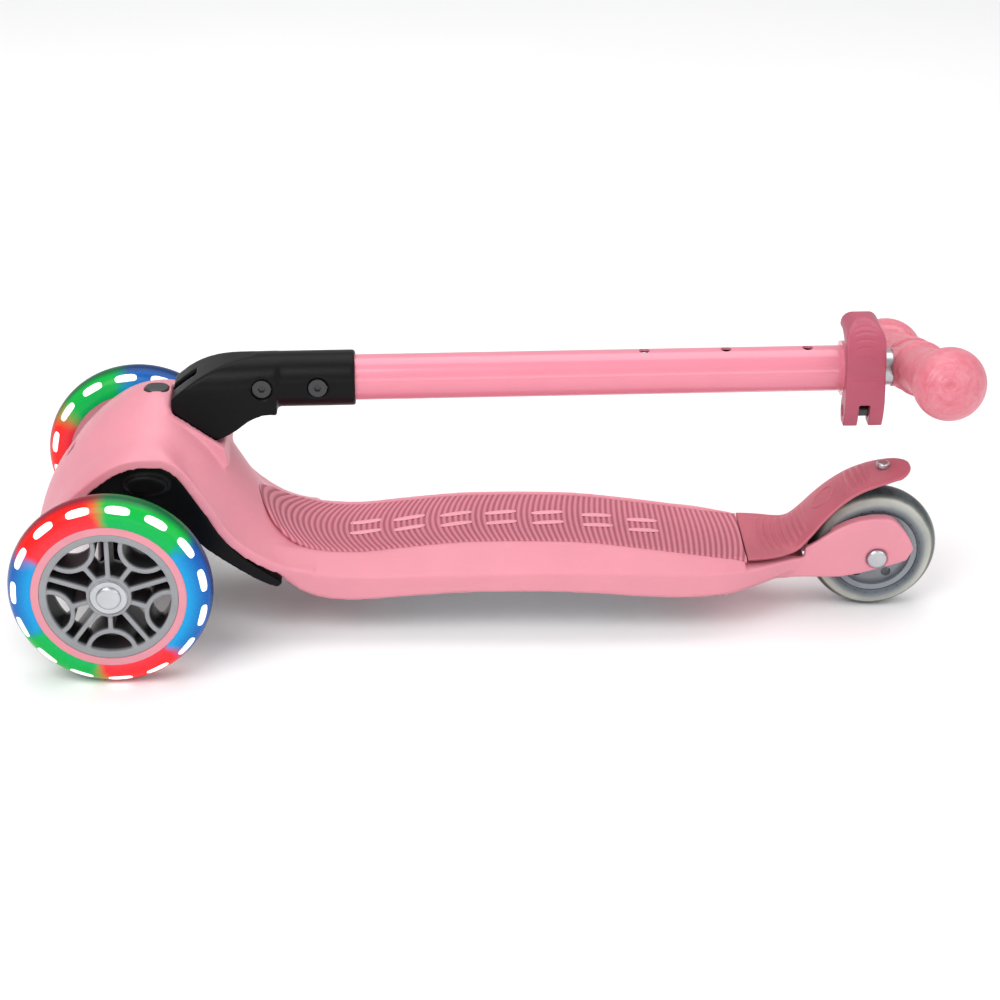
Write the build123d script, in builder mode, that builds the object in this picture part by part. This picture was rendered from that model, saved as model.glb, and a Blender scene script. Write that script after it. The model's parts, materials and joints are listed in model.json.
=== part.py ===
"""Folding three-wheel kick scooter for a small child, stored in its folded state.

Row frame: +X towards the rear wheel, +Y to the rider's right, +Z up, origin on the
ground under the middle of the folded scooter. All sizes are in millimetres.
"""

import os
from math import cos, radians, sin

from build123d import *

# ---------------------------------------------------------------- driving sizes
WHEELBASE = 469.7
TRACK = 193.6
FRONT_WHEEL_R = 60.5
REAR_WHEEL_R = 40.6
FRONT_X = -224.0  # front axle, behind the front end by its own radius
REAR_X = FRONT_X + WHEELBASE
RUNNING = 0.05  # radial running clearance of pins and bushes
GAP = 0.4  # gap between curved faces of different bodies

# fold hinge and stem
HINGE_X = FRONT_X + 59.2
HINGE_Z = 145.8
KNUCKLE_R = 27.2
CUP_R = KNUCKLE_R + GAP
SLEEVE_HALF = 19.5
CUP_HALF = SLEEVE_HALF + 0.5
STEM_TILT = 1.35  # rise of the folded stem towards the rear, degrees
STEM_OFFSET = 6.9  # tube axis above the hinge axis, square to the tube
SLEEVE_R = 17.0
SLEEVE_END = 84.3
TUBE_R = 14.0
TUBE_BORE_R = 12.5
TUBE_START = 18.0
TUBE_END = 402.0
COLLAR_START = 380.5
COLLAR_WIDTH = 24.7
HEIGHT_HOLES = (260.8, 310.8, 360.8)
HOLE_R = 3.3

# handlebar
BAR_AT = 428.3  # crossbar axis along the stem from the hinge
BAR_TWIST = -17.1  # crossbar turned about the stem, left end up
BALL_AT = 100.0
BALL_R = 21.8
INNER_R = 11.0

# deck
DECK_WALL = 3.5
MAT_HALF = 33.5
MAT_DEEP = 3.0
CHEEK_IN = 13.6
CHEEK_OUT = 21.5

# lean-steer truck
KINGPIN_LEAN = 35.0  # kingpin leans forward from upright, degrees
KINGPIN_R = 5.0
KINGPIN_HEAD_AT = 40.0

os.makedirs("parts", exist_ok=True)


def save(piece, label):
    """Name a finished piece and write it as its own STEP file."""
    piece.part.label = label
    export_step(piece.part, "parts/" + label + ".step")


def slab(y):
    """Side-view sketch plane at y: local x is rearward, local y is up, normal -Y."""
    return Plane.XZ.offset(-y)


def stem_frame(along=0.0, up=0.0, twist=0.0):
    """Plane square to the stem: local x is +Y, local y is up, normal runs up the stem."""
    tilt, turn = radians(STEM_TILT), radians(twist)
    along_dir = Vector(cos(tilt), 0, sin(tilt))
    up_dir = Vector(-sin(tilt), 0, cos(tilt))
    return Plane(
        origin=Vector(HINGE_X, 0, HINGE_Z) + along_dir * along + up_dir * up,
        x_dir=Vector(0, 1, 0) * cos(turn) + up_dir * sin(turn),
        z_dir=along_dir,
    )


def wheel_frame(x, y, z, side):
    """Plane in a wheel's middle: local y is up and the normal points outboard."""
    return Plane(origin=(x, y, z), x_dir=(-side, 0, 0), z_dir=(0, side, 0))


def ring_frame(x, y, z, side):
    """Plane through a wheel's axis: local x is radial, local y is outboard."""
    return Plane(origin=(x, y, z), x_dir=(1, 0, 0), z_dir=(0, 0, side))


def axle(x, y, z, side=1):
    """Axis along +Y or -Y."""
    return Axis((x, y, z), (0, side, 0))


def front(points):
    """Points measured from the front axle's station, moved into the row frame."""
    return [(x + FRONT_X, z) for x, z in points]


# ---------------------------------------------------------------- deck frame
# Side-view lines of the neck hood's outer skin at four distances from the middle,
# from the front skirt up over the neck and down to the deck, as (x, z).
HOOD_LINES = {
    0: [(-54, 60), (-50.5, 73), (-43.5, 90), (-32, 107.5), (-18.5, 123.5), (-4, 137), (12, 146.5),
        (27, 148.5), (38, 140), (50, 128), (61, 117), (68, 105), (74, 95), (81, 84.5),
        (89, 73.5), (98, 64.5), (109, 58.5), (123, 54)],
    24: [(-53, 60), (-49.5, 72), (-42.5, 87), (-32, 103), (-19.5, 117.5), (-5, 130), (11, 139),
         (26, 140.5), (37, 134.5), (48, 125), (57, 114.5), (64, 103), (70, 93), (77, 81.5),
         (85, 71), (95, 62.5), (107, 57), (122, 53.5)],
    42: [(-51.5, 59.5), (-48, 70.5), (-42, 82.5), (-33, 97), (-20.5, 111.5), (-5, 124), (10, 131.5),
         (23, 133), (34, 128.5), (44, 119), (52, 108.5), (58, 98.5), (64, 88), (71, 76.5),
         (80, 66.5), (91, 58.5), (104, 53), (119, 50.5)],
    60: [(-50, 59), (-47, 68), (-41, 80), (-32, 94), (-19, 108), (-5, 119), (8, 125),
         (21, 126.5), (32, 125.5), (42, 118.5), (50, 108), (57, 96), (64, 84), (72, 72),
         (81, 62), (92, 54), (104, 49), (118, 46)],
}
HOOD_WALL = 6.0

# Deck stations: x behind the front axle, half width, lip half width, lip z, crease z, bottom z.
DECK_STATIONS = [
    (92, 53.0, 37, 59.5, 54.0, 46.5),
    (103, 52.5, 36.5, 56.5, 49.5, 35.0),
    (113, 52.0, 36, 54.5, 47.0, 28.5),
    (125, 52.0, 36, 53.0, 45.0, 24.5),
    (146, 52.0, 36, 52.4, 43.8, 23.5),
    (170, 52.0, 36, 55.2, 43.8, 25.5),
    (208, 52.0, 36, 59.1, 44.8, 28.3),
    (245, 52.0, 36, 60.0, 45.8, 29.0),
    (282, 52.0, 36, 59.1, 46.2, 28.3),
    (319, 51.5, 36, 55.0, 45.4, 25.4),
    (350, 50.0, 35.5, 50.8, 44.2, 23.9),
    (372, 46.0, 34.5, 47.8, 42.8, 24.0),
    (390, 38.0, 31, 46.2, 41.5, 25.2),
    (408, 28.0, 25, 45.6, 41.0, 27.0),
    (424, CHEEK_OUT, 20, 47.5, 42.0, 28.0),
]


STATION_STEP = 9.0
CAVITY_END = 374  # the channel under the deck stops ahead of the rear fork


def smooth_stations(stations):
    """Stations at an even spacing on a smooth cubic through the given ones."""
    xs = [station[0] for station in stations]
    slopes = [[0.0] * len(stations[0]) for _ in stations]
    for k in range(1, len(stations) - 1):
        run = xs[k + 1] - xs[k - 1]
        slopes[k] = [(b - a) / run for a, b in zip(stations[k - 1], stations[k + 1])]
    count = round((xs[-1] - xs[0]) / STATION_STEP)
    out = []
    for step in range(count + 1):
        x = xs[0] + (xs[-1] - xs[0]) * step / count
        k = max(i for i in range(len(xs) - 1) if xs[i] <= x + 1e-6)
        run = xs[k + 1] - xs[k]
        t = (x - xs[k]) / run
        rise = t * t * (3 - 2 * t)
        lead = t * (1 - t) * (1 - t) * run
        lag = t * t * (1 - t) * run
        values = [a + (b - a) * rise + lead * m - lag * n for a, b, m, n in
                  zip(stations[k], stations[k + 1], slopes[k], slopes[k + 1])]
        out.append((x, *values[1:]))
    return out


SMOOTH_STATIONS = smooth_stations(DECK_STATIONS)


def deck_outline(station):
    """Outside of the deck's cross-section, as a closed run of points (y, z)."""
    x, half, lip, lip_z, crease_z, bottom_z = station
    right = [(lip, lip_z), (half, crease_z), (half - 1.0, bottom_z + 5), (half - 7, bottom_z)]
    left = [(-y, z) for y, z in reversed(right)]
    return right + left


def deck_cavity(station):
    """Inside of the deck's cross-section, open below."""
    x, half, lip, lip_z, crease_z, bottom_z = station
    roof = lip_z - MAT_DEEP - DECK_WALL
    right = [(lip - 2, roof), (half - 4, crease_z - 4), (half - 5, bottom_z - 3)]
    left = [(-y, z) for y, z in reversed(right)]
    return right + left


with BuildPart() as hood:
    for y in (-60, -42, -24, 0, 24, 42, 60):
        skin = [Vector(*p) for p in front(HOOD_LINES[abs(y)])]
        under = []
        for before, here, after in zip([skin[0]] + skin[:-1], skin, skin[1:] + [skin[-1]]):
            run = (after - before).normalized()
            under.append(here + Vector(run.Y, -run.X) * HOOD_WALL)
        with BuildSketch(slab(y)):
            with BuildLine():
                Spline(skin)
                Line(skin[-1], under[-1])
                Spline(list(reversed(under)))
                Line(under[0], skin[0])
            make_face()
    loft()

with BuildPart() as hood_plan:
    with BuildSketch():
        with BuildLine():
            half = front([(-70, 62), (-40, 61), (30, 60.5), (70, 56), (100, 52.5), (130, 52)])
            Spline(half)
            Line(half[-1], (half[-1][0], -half[-1][1]))
            Spline([(x, -y) for x, y in reversed(half)])
            Line((half[0][0], -half[0][1]), half[0])
        make_face()
    extrude(amount=200)

# the mat: its side-view line follows the deck top and climbs the neck
MAT_LINE = [(82.5, 82.2), (89, 73.5), (98, 64.5), (109, 58.5), (125, 54.0), (146, 53.2),
            (170, 55.6), (208, 59.3), (245, 60.2), (282, 59.3), (319, 55.2), (350, 51.0),
            (372, 48.0), (386.1, 46.7)]


def mat_side(top_rise, floor_drop):
    """Side-view band of the mat between a raised top line and a lowered floor line."""
    top = [Vector(x, z + top_rise) for x, z in front(MAT_LINE)]
    floor = [Vector(x - floor_drop * 0.5, z - floor_drop) for x, z in front(MAT_LINE[:3])]
    floor += [Vector(x, z - floor_drop) for x, z in front(MAT_LINE[3:])]
    with BuildLine() as band:
        Spline(top)
        Line(top[-1], floor[-1])
        Spline(list(reversed(floor)))
        Line(floor[0], top[0])
    return band


def mat_solid(top_rise):
    """Mat-shaped solid: the side band cut to the mat's boat-shaped plan."""
    with BuildPart() as solid:
        with BuildSketch(slab(0)):
            add(mat_side(top_rise, MAT_DEEP).line)
            make_face()
        extrude(amount=MAT_HALF, both=True)
        with BuildSketch():
            with BuildLine():
                side = front([(86, 12), (94, 24), (106, 31.5), (120, MAT_HALF), (400, MAT_HALF)])
                tip = (FRONT_X + 82.6, 0)
                Spline([side[3], side[2], side[1], side[0], tip] +
                       [(x, -y) for x, y in side[:4]])
                Line(side[3], side[4])
                Line(side[4], (side[4][0], -MAT_HALF))
                Line((side[4][0], -MAT_HALF), (side[3][0], -MAT_HALF))
            make_face()
        extrude(amount=200, mode=Mode.INTERSECT)
    return solid


deck_mat = mat_solid(0)
mat_pocket = mat_solid(12)

# ends of the rear fork, where the brake pin and the rear axle sit
BRAKE_PIN = (FRONT_X + 398, 36.5)
CHEEK_LINE = front([(398, 42.5), (418, 46.5), (428, 50.4), (438, 57.4), (446, 62.4), (457, 67.0),
                    (469, 68.6), (477, 67.6), (484, 61.5), (490, 53), (492.5, 47)])
CHEEK_LOW = front([(488.5, 39), (481.5, 36.4), (460, 30), (448, 27.6), (424, 27.6), (398, 26)])
KINGPIN_UP = Vector(-sin(radians(KINGPIN_LEAN)), 0, cos(radians(KINGPIN_LEAN)))
KINGPIN_AT = Vector(FRONT_X, 0, FRONT_WHEEL_R)


def kingpin_plane(along):
    """Plane square to the kingpin, the given distance up it from the axle line."""
    return Plane(origin=KINGPIN_AT + KINGPIN_UP * along, x_dir=(0, 1, 0), z_dir=KINGPIN_UP)


WEB_Z = 96.0
WEB_THICK = 5.0
BUTTON_X = FRONT_X + 22.2
BUTTON_TOP = 148.4
BUTTON_LONG = 15.0
BUTTON_WIDE = 13.0
TONGUE_HALF = 4.0
BRACKET_SCREWS_AT = [(FRONT_X + x, y) for x in (6, 32) for y in (-14, 14)]
PLATE_SCREWS_AT = [(FRONT_X + x, y) for x in (152, 245, 338) for y in (-30, 30)]
PLATE_Z = 30.5
PLATE_THICK = 2.0
SCREW_SUNK = 1.3
PLATE_FROM = FRONT_X + 140
PLATE_TO = FRONT_X + 352

# side view of the block that holds the fold hinge: its crown falls away to both sides
CUP_CROWN = [(2, 135), (13, 143), (25, 148), (30, 149)]
CUP_FOOT = [(64, 117.5), (66, 106), (60, 96), (46, 96), (12, 118)]
CUP_DROP = 9.0

with BuildPart() as deck_frame:
    # the deck channel
    for station in SMOOTH_STATIONS:
        with BuildSketch(Plane.YZ.offset(station[0] + FRONT_X)):
            with BuildLine():
                Polyline(deck_outline(station), close=True)
            make_face()
    loft(ruled=True)
    for station in SMOOTH_STATIONS:
        if station[0] < CAVITY_END:
            with BuildSketch(Plane.YZ.offset(station[0] + FRONT_X)):
                with BuildLine():
                    Polyline(deck_cavity(station), close=True)
                make_face()
    loft(ruled=True, mode=Mode.SUBTRACT)
    # neck hood, trimmed to its plan
    add(hood.part & hood_plan.part)
    # cup that holds the stem knuckle, with a cheek each side of it
    for y, drop in ((-24, CUP_DROP), (0, 0), (24, CUP_DROP)):
        crown = [(x, z - drop) for x, z in CUP_CROWN]
        with BuildSketch(slab(y)):
            with BuildLine():
                Polyline(front(crown + CUP_FOOT), close=True)
            make_face()
    loft(ruled=True)
    # web across the neck that carries the bracket and the kingpin boss
    with BuildSketch(Plane.XY.offset(WEB_Z)):
        with Locations((FRONT_X + 12.75, 0)):
            Rectangle(92.5, 50)
    extrude(amount=WEB_THICK)
    with BuildSketch(kingpin_plane(24)):
        Circle(13)
    extrude(amount=KINGPIN_HEAD_AT - 24)
    # rear fork cheeks
    with BuildSketch(slab(0)):
        with BuildLine():
            Spline(CHEEK_LINE)
            Line(CHEEK_LINE[-1], CHEEK_LOW[0])
            Polyline(CHEEK_LOW)
            Line(CHEEK_LOW[-1], CHEEK_LINE[0])
        make_face()
    extrude(amount=CHEEK_OUT, both=True)
    # ribs under the deck that the steel plate is screwed to
    with BuildSketch(Plane.XY.offset(PLATE_Z + PLATE_THICK)):
        with Locations(*[(FRONT_X + x, 0) for x in (152, 198.5, 245, 291.5, 338)]):
            Rectangle(4, 94)
        with Locations(*PLATE_SCREWS_AT):
            Circle(5)
    extrude(until=Until.NEXT)
    # clearance for the rear wheel and the room above it for the fender
    with BuildSketch(slab(0)):
        with Locations((REAR_X, REAR_WHEEL_R)):
            Circle(REAR_WHEEL_R + 3)
    extrude(amount=CHEEK_IN, both=True, mode=Mode.SUBTRACT)
    with BuildSketch(slab(0)):
        with Locations((REAR_X + 20, 60)):
            Rectangle(60, 60)
    extrude(amount=CHEEK_IN, both=True, mode=Mode.SUBTRACT)
    # mat pocket
    add(mat_pocket.part, mode=Mode.SUBTRACT)
    # fender seat and the brake pin's hole
    with BuildSketch(slab(0)):
        with BuildLine():
            seat = front([(385, 70), (385, 43), (389, 31.5), (402, 28.5), (425, 31), (440, 52),
                          (440, 70)])
            Polyline(seat, close=True)
        make_face()
    extrude(amount=17.5, both=True, mode=Mode.SUBTRACT)
    with BuildSketch(slab(0)):
        with BuildLine():
            Polyline(front([(385, 70), (385, 41.5), (424, 41.5), (424, 70)]), close=True)
        make_face()
    extrude(amount=40, both=True, mode=Mode.SUBTRACT)
    with Locations(Plane(origin=(BRAKE_PIN[0], 0, BRAKE_PIN[1]), z_dir=(0, 1, 0))):
        Cylinder(2.5, 48, mode=Mode.SUBTRACT)
    # rear axle hole with a recess for the bolt head and for the nut
    with Locations(Plane(origin=(REAR_X, 0, REAR_WHEEL_R), z_dir=(0, 1, 0))):
        Cylinder(4, 60, mode=Mode.SUBTRACT)
    for side in (-1, 1):
        with BuildSketch(slab(side * (CHEEK_OUT + 1))):
            with Locations((REAR_X, REAR_WHEEL_R)):
                Circle(7.2)
        extrude(amount=side * 3.2, mode=Mode.SUBTRACT)
    # cup bore between the cheeks, and the cheeks' own clearance around the sleeve
    with BuildSketch(slab(0)):
        with Locations((HINGE_X, HINGE_Z)):
            Circle(CUP_R)
    extrude(amount=CUP_HALF, both=True, mode=Mode.SUBTRACT)
    # hollow of the neck for the bracket's tongue, and its slot into the cup
    with BuildSketch(slab(0)):
        with BuildLine():
            Polyline(front([(-34, WEB_Z + WEB_THICK), (-16, 122), (4, 127), (20, 124),
                            (36, 119), (46, 112), (56, 109), (60, 104),
                            (60, WEB_Z + WEB_THICK)]), close=True)
        make_face()
    extrude(amount=20, both=True, mode=Mode.SUBTRACT)
    with BuildSketch(slab(0)):
        with BuildLine():
            Polyline(front([(44.5, 104), (45, 130), (64, 130), (60, 108), (58, 104)]), close=True)
        make_face()
    extrude(amount=TONGUE_HALF + 0.3, both=True, mode=Mode.SUBTRACT)
    # guide for the fold button and its spring
    with BuildSketch(Plane.XY.offset(139)):
        with Locations((BUTTON_X, 0)):
            RectangleRounded(BUTTON_LONG + 0.6, BUTTON_WIDE + 0.6, 6.3)
    extrude(amount=30, mode=Mode.SUBTRACT)
    with BuildSketch(Plane.XY.offset(131)):
        with Locations((BUTTON_X, 0)):
            Circle(5)
    extrude(amount=9, mode=Mode.SUBTRACT)
    # screw holes
    with Locations(*[(x, y, WEB_Z) for x, y in BRACKET_SCREWS_AT]):
        Cylinder(2, 30, mode=Mode.SUBTRACT)
    with Locations(*[(x, y, PLATE_Z) for x, y in PLATE_SCREWS_AT]):
        Cylinder(2, 24, mode=Mode.SUBTRACT)
    with BuildSketch(kingpin_plane(-40)):
        Circle(KINGPIN_R)
    extrude(amount=100, mode=Mode.SUBTRACT)
    with BuildSketch(kingpin_plane(KINGPIN_HEAD_AT)):
        Circle(9)
    extrude(amount=6, mode=Mode.SUBTRACT)

with BuildPart() as deck_plate:
    with BuildSketch(Plane.XY.offset(PLATE_Z)):
        with Locations(((PLATE_FROM + PLATE_TO) / 2, 0)):
            RectangleRounded(PLATE_TO - PLATE_FROM, 84, 12)
        with Locations(*PLATE_SCREWS_AT):
            Circle(2, mode=Mode.SUBTRACT)
    extrude(amount=PLATE_THICK)
    with BuildSketch(Plane.XY.offset(PLATE_Z)):
        with Locations(*PLATE_SCREWS_AT):
            Circle(4)
    extrude(amount=SCREW_SUNK, mode=Mode.SUBTRACT)

with BuildPart() as plate_screws:
    with BuildSketch(Plane.XY.offset(PLATE_Z + 0.1)):
        with Locations(*PLATE_SCREWS_AT):
            Circle(4)
    extrude(amount=SCREW_SUNK - 0.1)
    with BuildSketch(Plane.XY.offset(PLATE_Z + SCREW_SUNK)):
        with Locations(*PLATE_SCREWS_AT):
            Circle(2)
    extrude(amount=9.7)

# black housing under the hood: side walls and a roof, notched for the web
HOUSING_OUT = 53.0
HOUSING_TOP = [(-40, 72), (-34, 84), (-24, 97), (-12, 107), (0, 114), (14, 119), (26, 119),
               (36, 113), (44, 103), (51, 91), (58, 79), (66, 67.5), (76, 57.5), (88, 48),
               (99, 40.5)]
HOUSING_LOW = [(96, 37.5), (87, 40.5), (76, 47), (60, 58), (46, 70), (36, 80), (24, 86),
               (-8, 88), (-20, 84), (-30, 76), (-36, 70)]

with BuildPart() as truck_housing:
    with BuildSketch(slab(0)):
        with BuildLine():
            Spline(front(HOUSING_TOP))
            Line(front(HOUSING_TOP)[-1], front(HOUSING_LOW)[0])
            Spline(front(HOUSING_LOW))
            Line(front(HOUSING_LOW)[-1], front(HOUSING_TOP)[0])
        make_face()
    extrude(amount=HOUSING_OUT, both=True)
    # room for the truck between the two side shells; behind it they stay joined
    with BuildSketch(Plane.XY.offset(20)):
        with Locations((FRONT_X - 2, 0)):
            Rectangle(124, 2 * (HOUSING_OUT - 11))
    extrude(amount=130, mode=Mode.SUBTRACT)
    # oval boss on each outer wall
    for y in (-HOUSING_OUT, HOUSING_OUT):
        with BuildSketch(slab(y)):
            with Locations((FRONT_X + 19, 107)):
                Ellipse(13, 6.5)
        extrude(amount=2.5, both=True)
    add(deck_frame.part, mode=Mode.SUBTRACT)
    bosses = truck_housing.faces().filter_by(Axis.Y).group_by(Axis.Y)
    fillet(bosses[0].edges() + bosses[-1].edges(), 2)

# ---------------------------------------------------------------- neck hardware
BRACKET_TOP = WEB_Z + WEB_THICK + 4
with BuildPart() as neck_bracket:
    with BuildSketch(Plane.XY.offset(WEB_Z + WEB_THICK)):
        with Locations((FRONT_X + 25, 0)):
            Rectangle(58, 39)
        with Locations(*BRACKET_SCREWS_AT):
            Circle(2, mode=Mode.SUBTRACT)
    extrude(amount=4)
    with BuildSketch(slab(0)):
        with BuildLine():
            Polyline(front([(34, BRACKET_TOP - 1), (45.5, 112), (51, 141), (64, 141),
                            (59, 117), (53.5, BRACKET_TOP - 1)]), close=True)
        make_face()
        with Locations((HINGE_X, HINGE_Z)):
            Circle(10)
            Circle(5, mode=Mode.SUBTRACT)
    extrude(amount=TONGUE_HALF, both=True)

with BuildPart() as bracket_screws:
    with BuildSketch(Plane.XY.offset(BRACKET_TOP)):
        with Locations(*BRACKET_SCREWS_AT):
            Circle(3.6)
    extrude(amount=2.6)
    with BuildSketch(Plane.XY.offset(WEB_Z - 3)):
        with Locations(*BRACKET_SCREWS_AT):
            Circle(2)
    extrude(amount=BRACKET_TOP - WEB_Z + 3)

PIN_HALF = 16.5
with BuildPart() as hinge_pin:
    with BuildSketch(slab(0)):
        with Locations((HINGE_X, HINGE_Z)):
            Circle(5)
    extrude(amount=PIN_HALF, both=True)
    chamfer(hinge_pin.edges().filter_by(GeomType.CIRCLE), 0.6)

with BuildPart() as fold_button:
    with BuildSketch(Plane.XY.offset(143)):
        with Locations((BUTTON_X, 0)):
            RectangleRounded(BUTTON_LONG, BUTTON_WIDE, 6)
    extrude(amount=BUTTON_TOP - 143)
    fillet(fold_button.faces().sort_by(Axis.Z)[-1].edges(), 1.6)
    with BuildSketch(Plane.XY.offset(143)):
        with Locations((BUTTON_X, 0)):
            Circle(4.4)
    extrude(amount=4, mode=Mode.SUBTRACT)


def coil_spring(plane, radius, wire_r, pitch, length):
    """Round-wire coil that starts on a plane and runs along its normal."""
    with BuildPart() as spring:
        with BuildLine():
            path = Helix(pitch, length, radius, center=plane.origin, direction=plane.z_dir)
        with BuildSketch(Plane(origin=path @ 0, z_dir=path % 0)):
            Circle(wire_r)
        sweep(path=path)
    return spring


button_spring = coil_spring(Plane.XY.offset(131.6).move(Location((BUTTON_X, 0, 0))),
                            3.4, 0.5, 3.2, 14.4)

# ---------------------------------------------------------------- kingpin
with BuildPart() as kingpin:
    with BuildSketch(kingpin_plane(-37)):
        Circle(KINGPIN_R)
    extrude(amount=37 + KINGPIN_HEAD_AT)
    with BuildSketch(kingpin_plane(KINGPIN_HEAD_AT)):
        RegularPolygon(7.5, 6)
    extrude(amount=5)

with BuildPart() as kingpin_washer:
    with BuildSketch(kingpin_plane(-26)):
        Circle(12)
        Circle(KINGPIN_R, mode=Mode.SUBTRACT)
    extrude(amount=2)

with BuildPart() as kingpin_nut:
    with BuildSketch(kingpin_plane(-34)):
        RegularPolygon(9.2, 6)
        Circle(KINGPIN_R, mode=Mode.SUBTRACT)
    extrude(amount=8)

# ---------------------------------------------------------------- stem sleeve
def knuckle_profile():
    """Side view of the black knuckle around the fold hinge."""
    with BuildLine() as outline:
        back = front([(96, 170.8), (79, 169.4), (65, 166.8), (54, 162.6), (44.5, 157.2),
                      (37, 151.5), (32.05, 147.3)])
        belly = front([(55, 118.9), (64, 122.5), (72, 127.5), (79, 133), (86, 136), (96, 136.4)])
        Spline(back)
        RadiusArc(back[-1], belly[0], -KNUCKLE_R)
        Spline(belly)
        Line(belly[-1], back[0])
    return outline


SLEEVE_BOLTS = (27.8, 61.6)
BOLT_HEAD_Y = 14.2
BOLT_HEAD_THICK = 2.2
SLEEVE_TOP = STEM_OFFSET + SLEEVE_R - 0.2
KNUCKLE_TALL = 70.0
with BuildPart() as sleeve_whole:
    with BuildSketch(slab(0)):
        add(knuckle_profile().line)
        make_face()
    extrude(amount=SLEEVE_HALF, both=True)
    for along in (-40, 14):
        with BuildSketch(stem_frame(along, SLEEVE_TOP - KNUCKLE_TALL / 2)):
            RectangleRounded(2 * SLEEVE_HALF, KNUCKLE_TALL, SLEEVE_HALF - 0.1)
    with BuildSketch(stem_frame(46, STEM_OFFSET)):
        RectangleRounded(2 * SLEEVE_R + 0.4, 2 * SLEEVE_R + 0.4, SLEEVE_R)
    loft(mode=Mode.INTERSECT)
    with BuildSketch(stem_frame(24, STEM_OFFSET)):
        Circle(SLEEVE_R)
    extrude(amount=SLEEVE_END - 24)
    # bore for the tube, hinge pin bore, and the slot for the bracket's tongue
    with BuildSketch(stem_frame(TUBE_START, STEM_OFFSET)):
        Circle(TUBE_R)
    extrude(amount=100, mode=Mode.SUBTRACT)
    with BuildSketch(slab(0)):
        with Locations((HINGE_X, HINGE_Z)):
            Circle(5 + RUNNING)
    extrude(amount=PIN_HALF + 0.2, both=True, mode=Mode.SUBTRACT)
    with BuildSketch(slab(0)):
        with Locations((HINGE_X, HINGE_Z)):
            Circle(10.5)
        with BuildLine():
            Polyline([(HINGE_X - 2, HINGE_Z + 10.3), (HINGE_X - 29, HINGE_Z + 15.5),
                      (HINGE_X - 30, HINGE_Z - 30), (HINGE_X + 5, HINGE_Z - 30),
                      (HINGE_X + 8, HINGE_Z - 2)], close=True)
        make_face()
    extrude(amount=TONGUE_HALF + 0.4, both=True, mode=Mode.SUBTRACT)
    # bolt holes and their round recesses
    for along in SLEEVE_BOLTS:
        at = stem_frame(along, STEM_OFFSET).origin
        with BuildSketch(slab(0)):
            with Locations((at.X, at.Z)):
                Circle(3)
        extrude(amount=30, both=True, mode=Mode.SUBTRACT)
        for side in (-1, 1):
            with BuildSketch(slab(side * BOLT_HEAD_Y)):
                with Locations((at.X, at.Z)):
                    Circle(6.2)
            extrude(amount=-side * 10, mode=Mode.SUBTRACT)

with BuildPart() as sleeve_left:
    add(sleeve_whole.part)
    split(bisect_by=Plane.XZ, keep=Keep.TOP)
with BuildPart() as sleeve_right:
    add(sleeve_whole.part)
    split(bisect_by=Plane.XZ, keep=Keep.BOTTOM)

with BuildPart() as sleeve_bolts:
    for along in SLEEVE_BOLTS:
        at = stem_frame(along, STEM_OFFSET).origin
        with BuildSketch(slab(-BOLT_HEAD_Y)):
            with Locations((at.X, at.Z)):
                Circle(5.6)
        extrude(amount=BOLT_HEAD_THICK)
        with BuildSketch(slab(-BOLT_HEAD_Y)):
            with Locations((at.X, at.Z)):
                Circle(3)
        extrude(amount=-(2 * BOLT_HEAD_Y + BOLT_HEAD_THICK))
        with BuildSketch(slab(-BOLT_HEAD_Y - BOLT_HEAD_THICK)):
            with Locations((at.X, at.Z)):
                RegularPolygon(2.4, 6)
        extrude(amount=-1.6, mode=Mode.SUBTRACT)

with BuildPart() as sleeve_nuts:
    for along in SLEEVE_BOLTS:
        at = stem_frame(along, STEM_OFFSET).origin
        with BuildSketch(slab(BOLT_HEAD_Y)):
            with Locations((at.X, at.Z)):
                RegularPolygon(5.7, 6)
                Circle(3, mode=Mode.SUBTRACT)
        extrude(amount=-BOLT_HEAD_THICK)

with BuildPart() as stem_tube:
    with BuildSketch(stem_frame(TUBE_START, STEM_OFFSET)):
        Circle(TUBE_R)
        Circle(TUBE_BORE_R, mode=Mode.SUBTRACT)
    extrude(amount=TUBE_END - TUBE_START)
    with Locations(*[stem_frame(w, STEM_OFFSET) * Location((0, TUBE_R, 0), (90, 0, 0))
                     for w in HEIGHT_HOLES]):
        Cylinder(HOLE_R, 10, mode=Mode.SUBTRACT)
    for along in SLEEVE_BOLTS:
        at = stem_frame(along, STEM_OFFSET).origin
        with BuildSketch(slab(0)):
            with Locations((at.X, at.Z)):
                Circle(3)
        extrude(amount=30, both=True, mode=Mode.SUBTRACT)

# ---------------------------------------------------------------- height clamp
COLLAR_MID = COLLAR_START + COLLAR_WIDTH / 2
COLLAR_R = 16.8
LUG_HALF = 6.0
SKEWER_DROP = 20.0  # skewer axis below the tube axis
BARREL_SIDE = -19.5  # lever's pivot barrel, out to the left
LEVER_R = 9.5
LEVER_WIDTH = 24.0
LEVER_TOP = 35.8


def clamp_frame(along):
    """Plane square to the stem on the tube's axis, used by the clamp's profiles."""
    return stem_frame(along, STEM_OFFSET)


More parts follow.
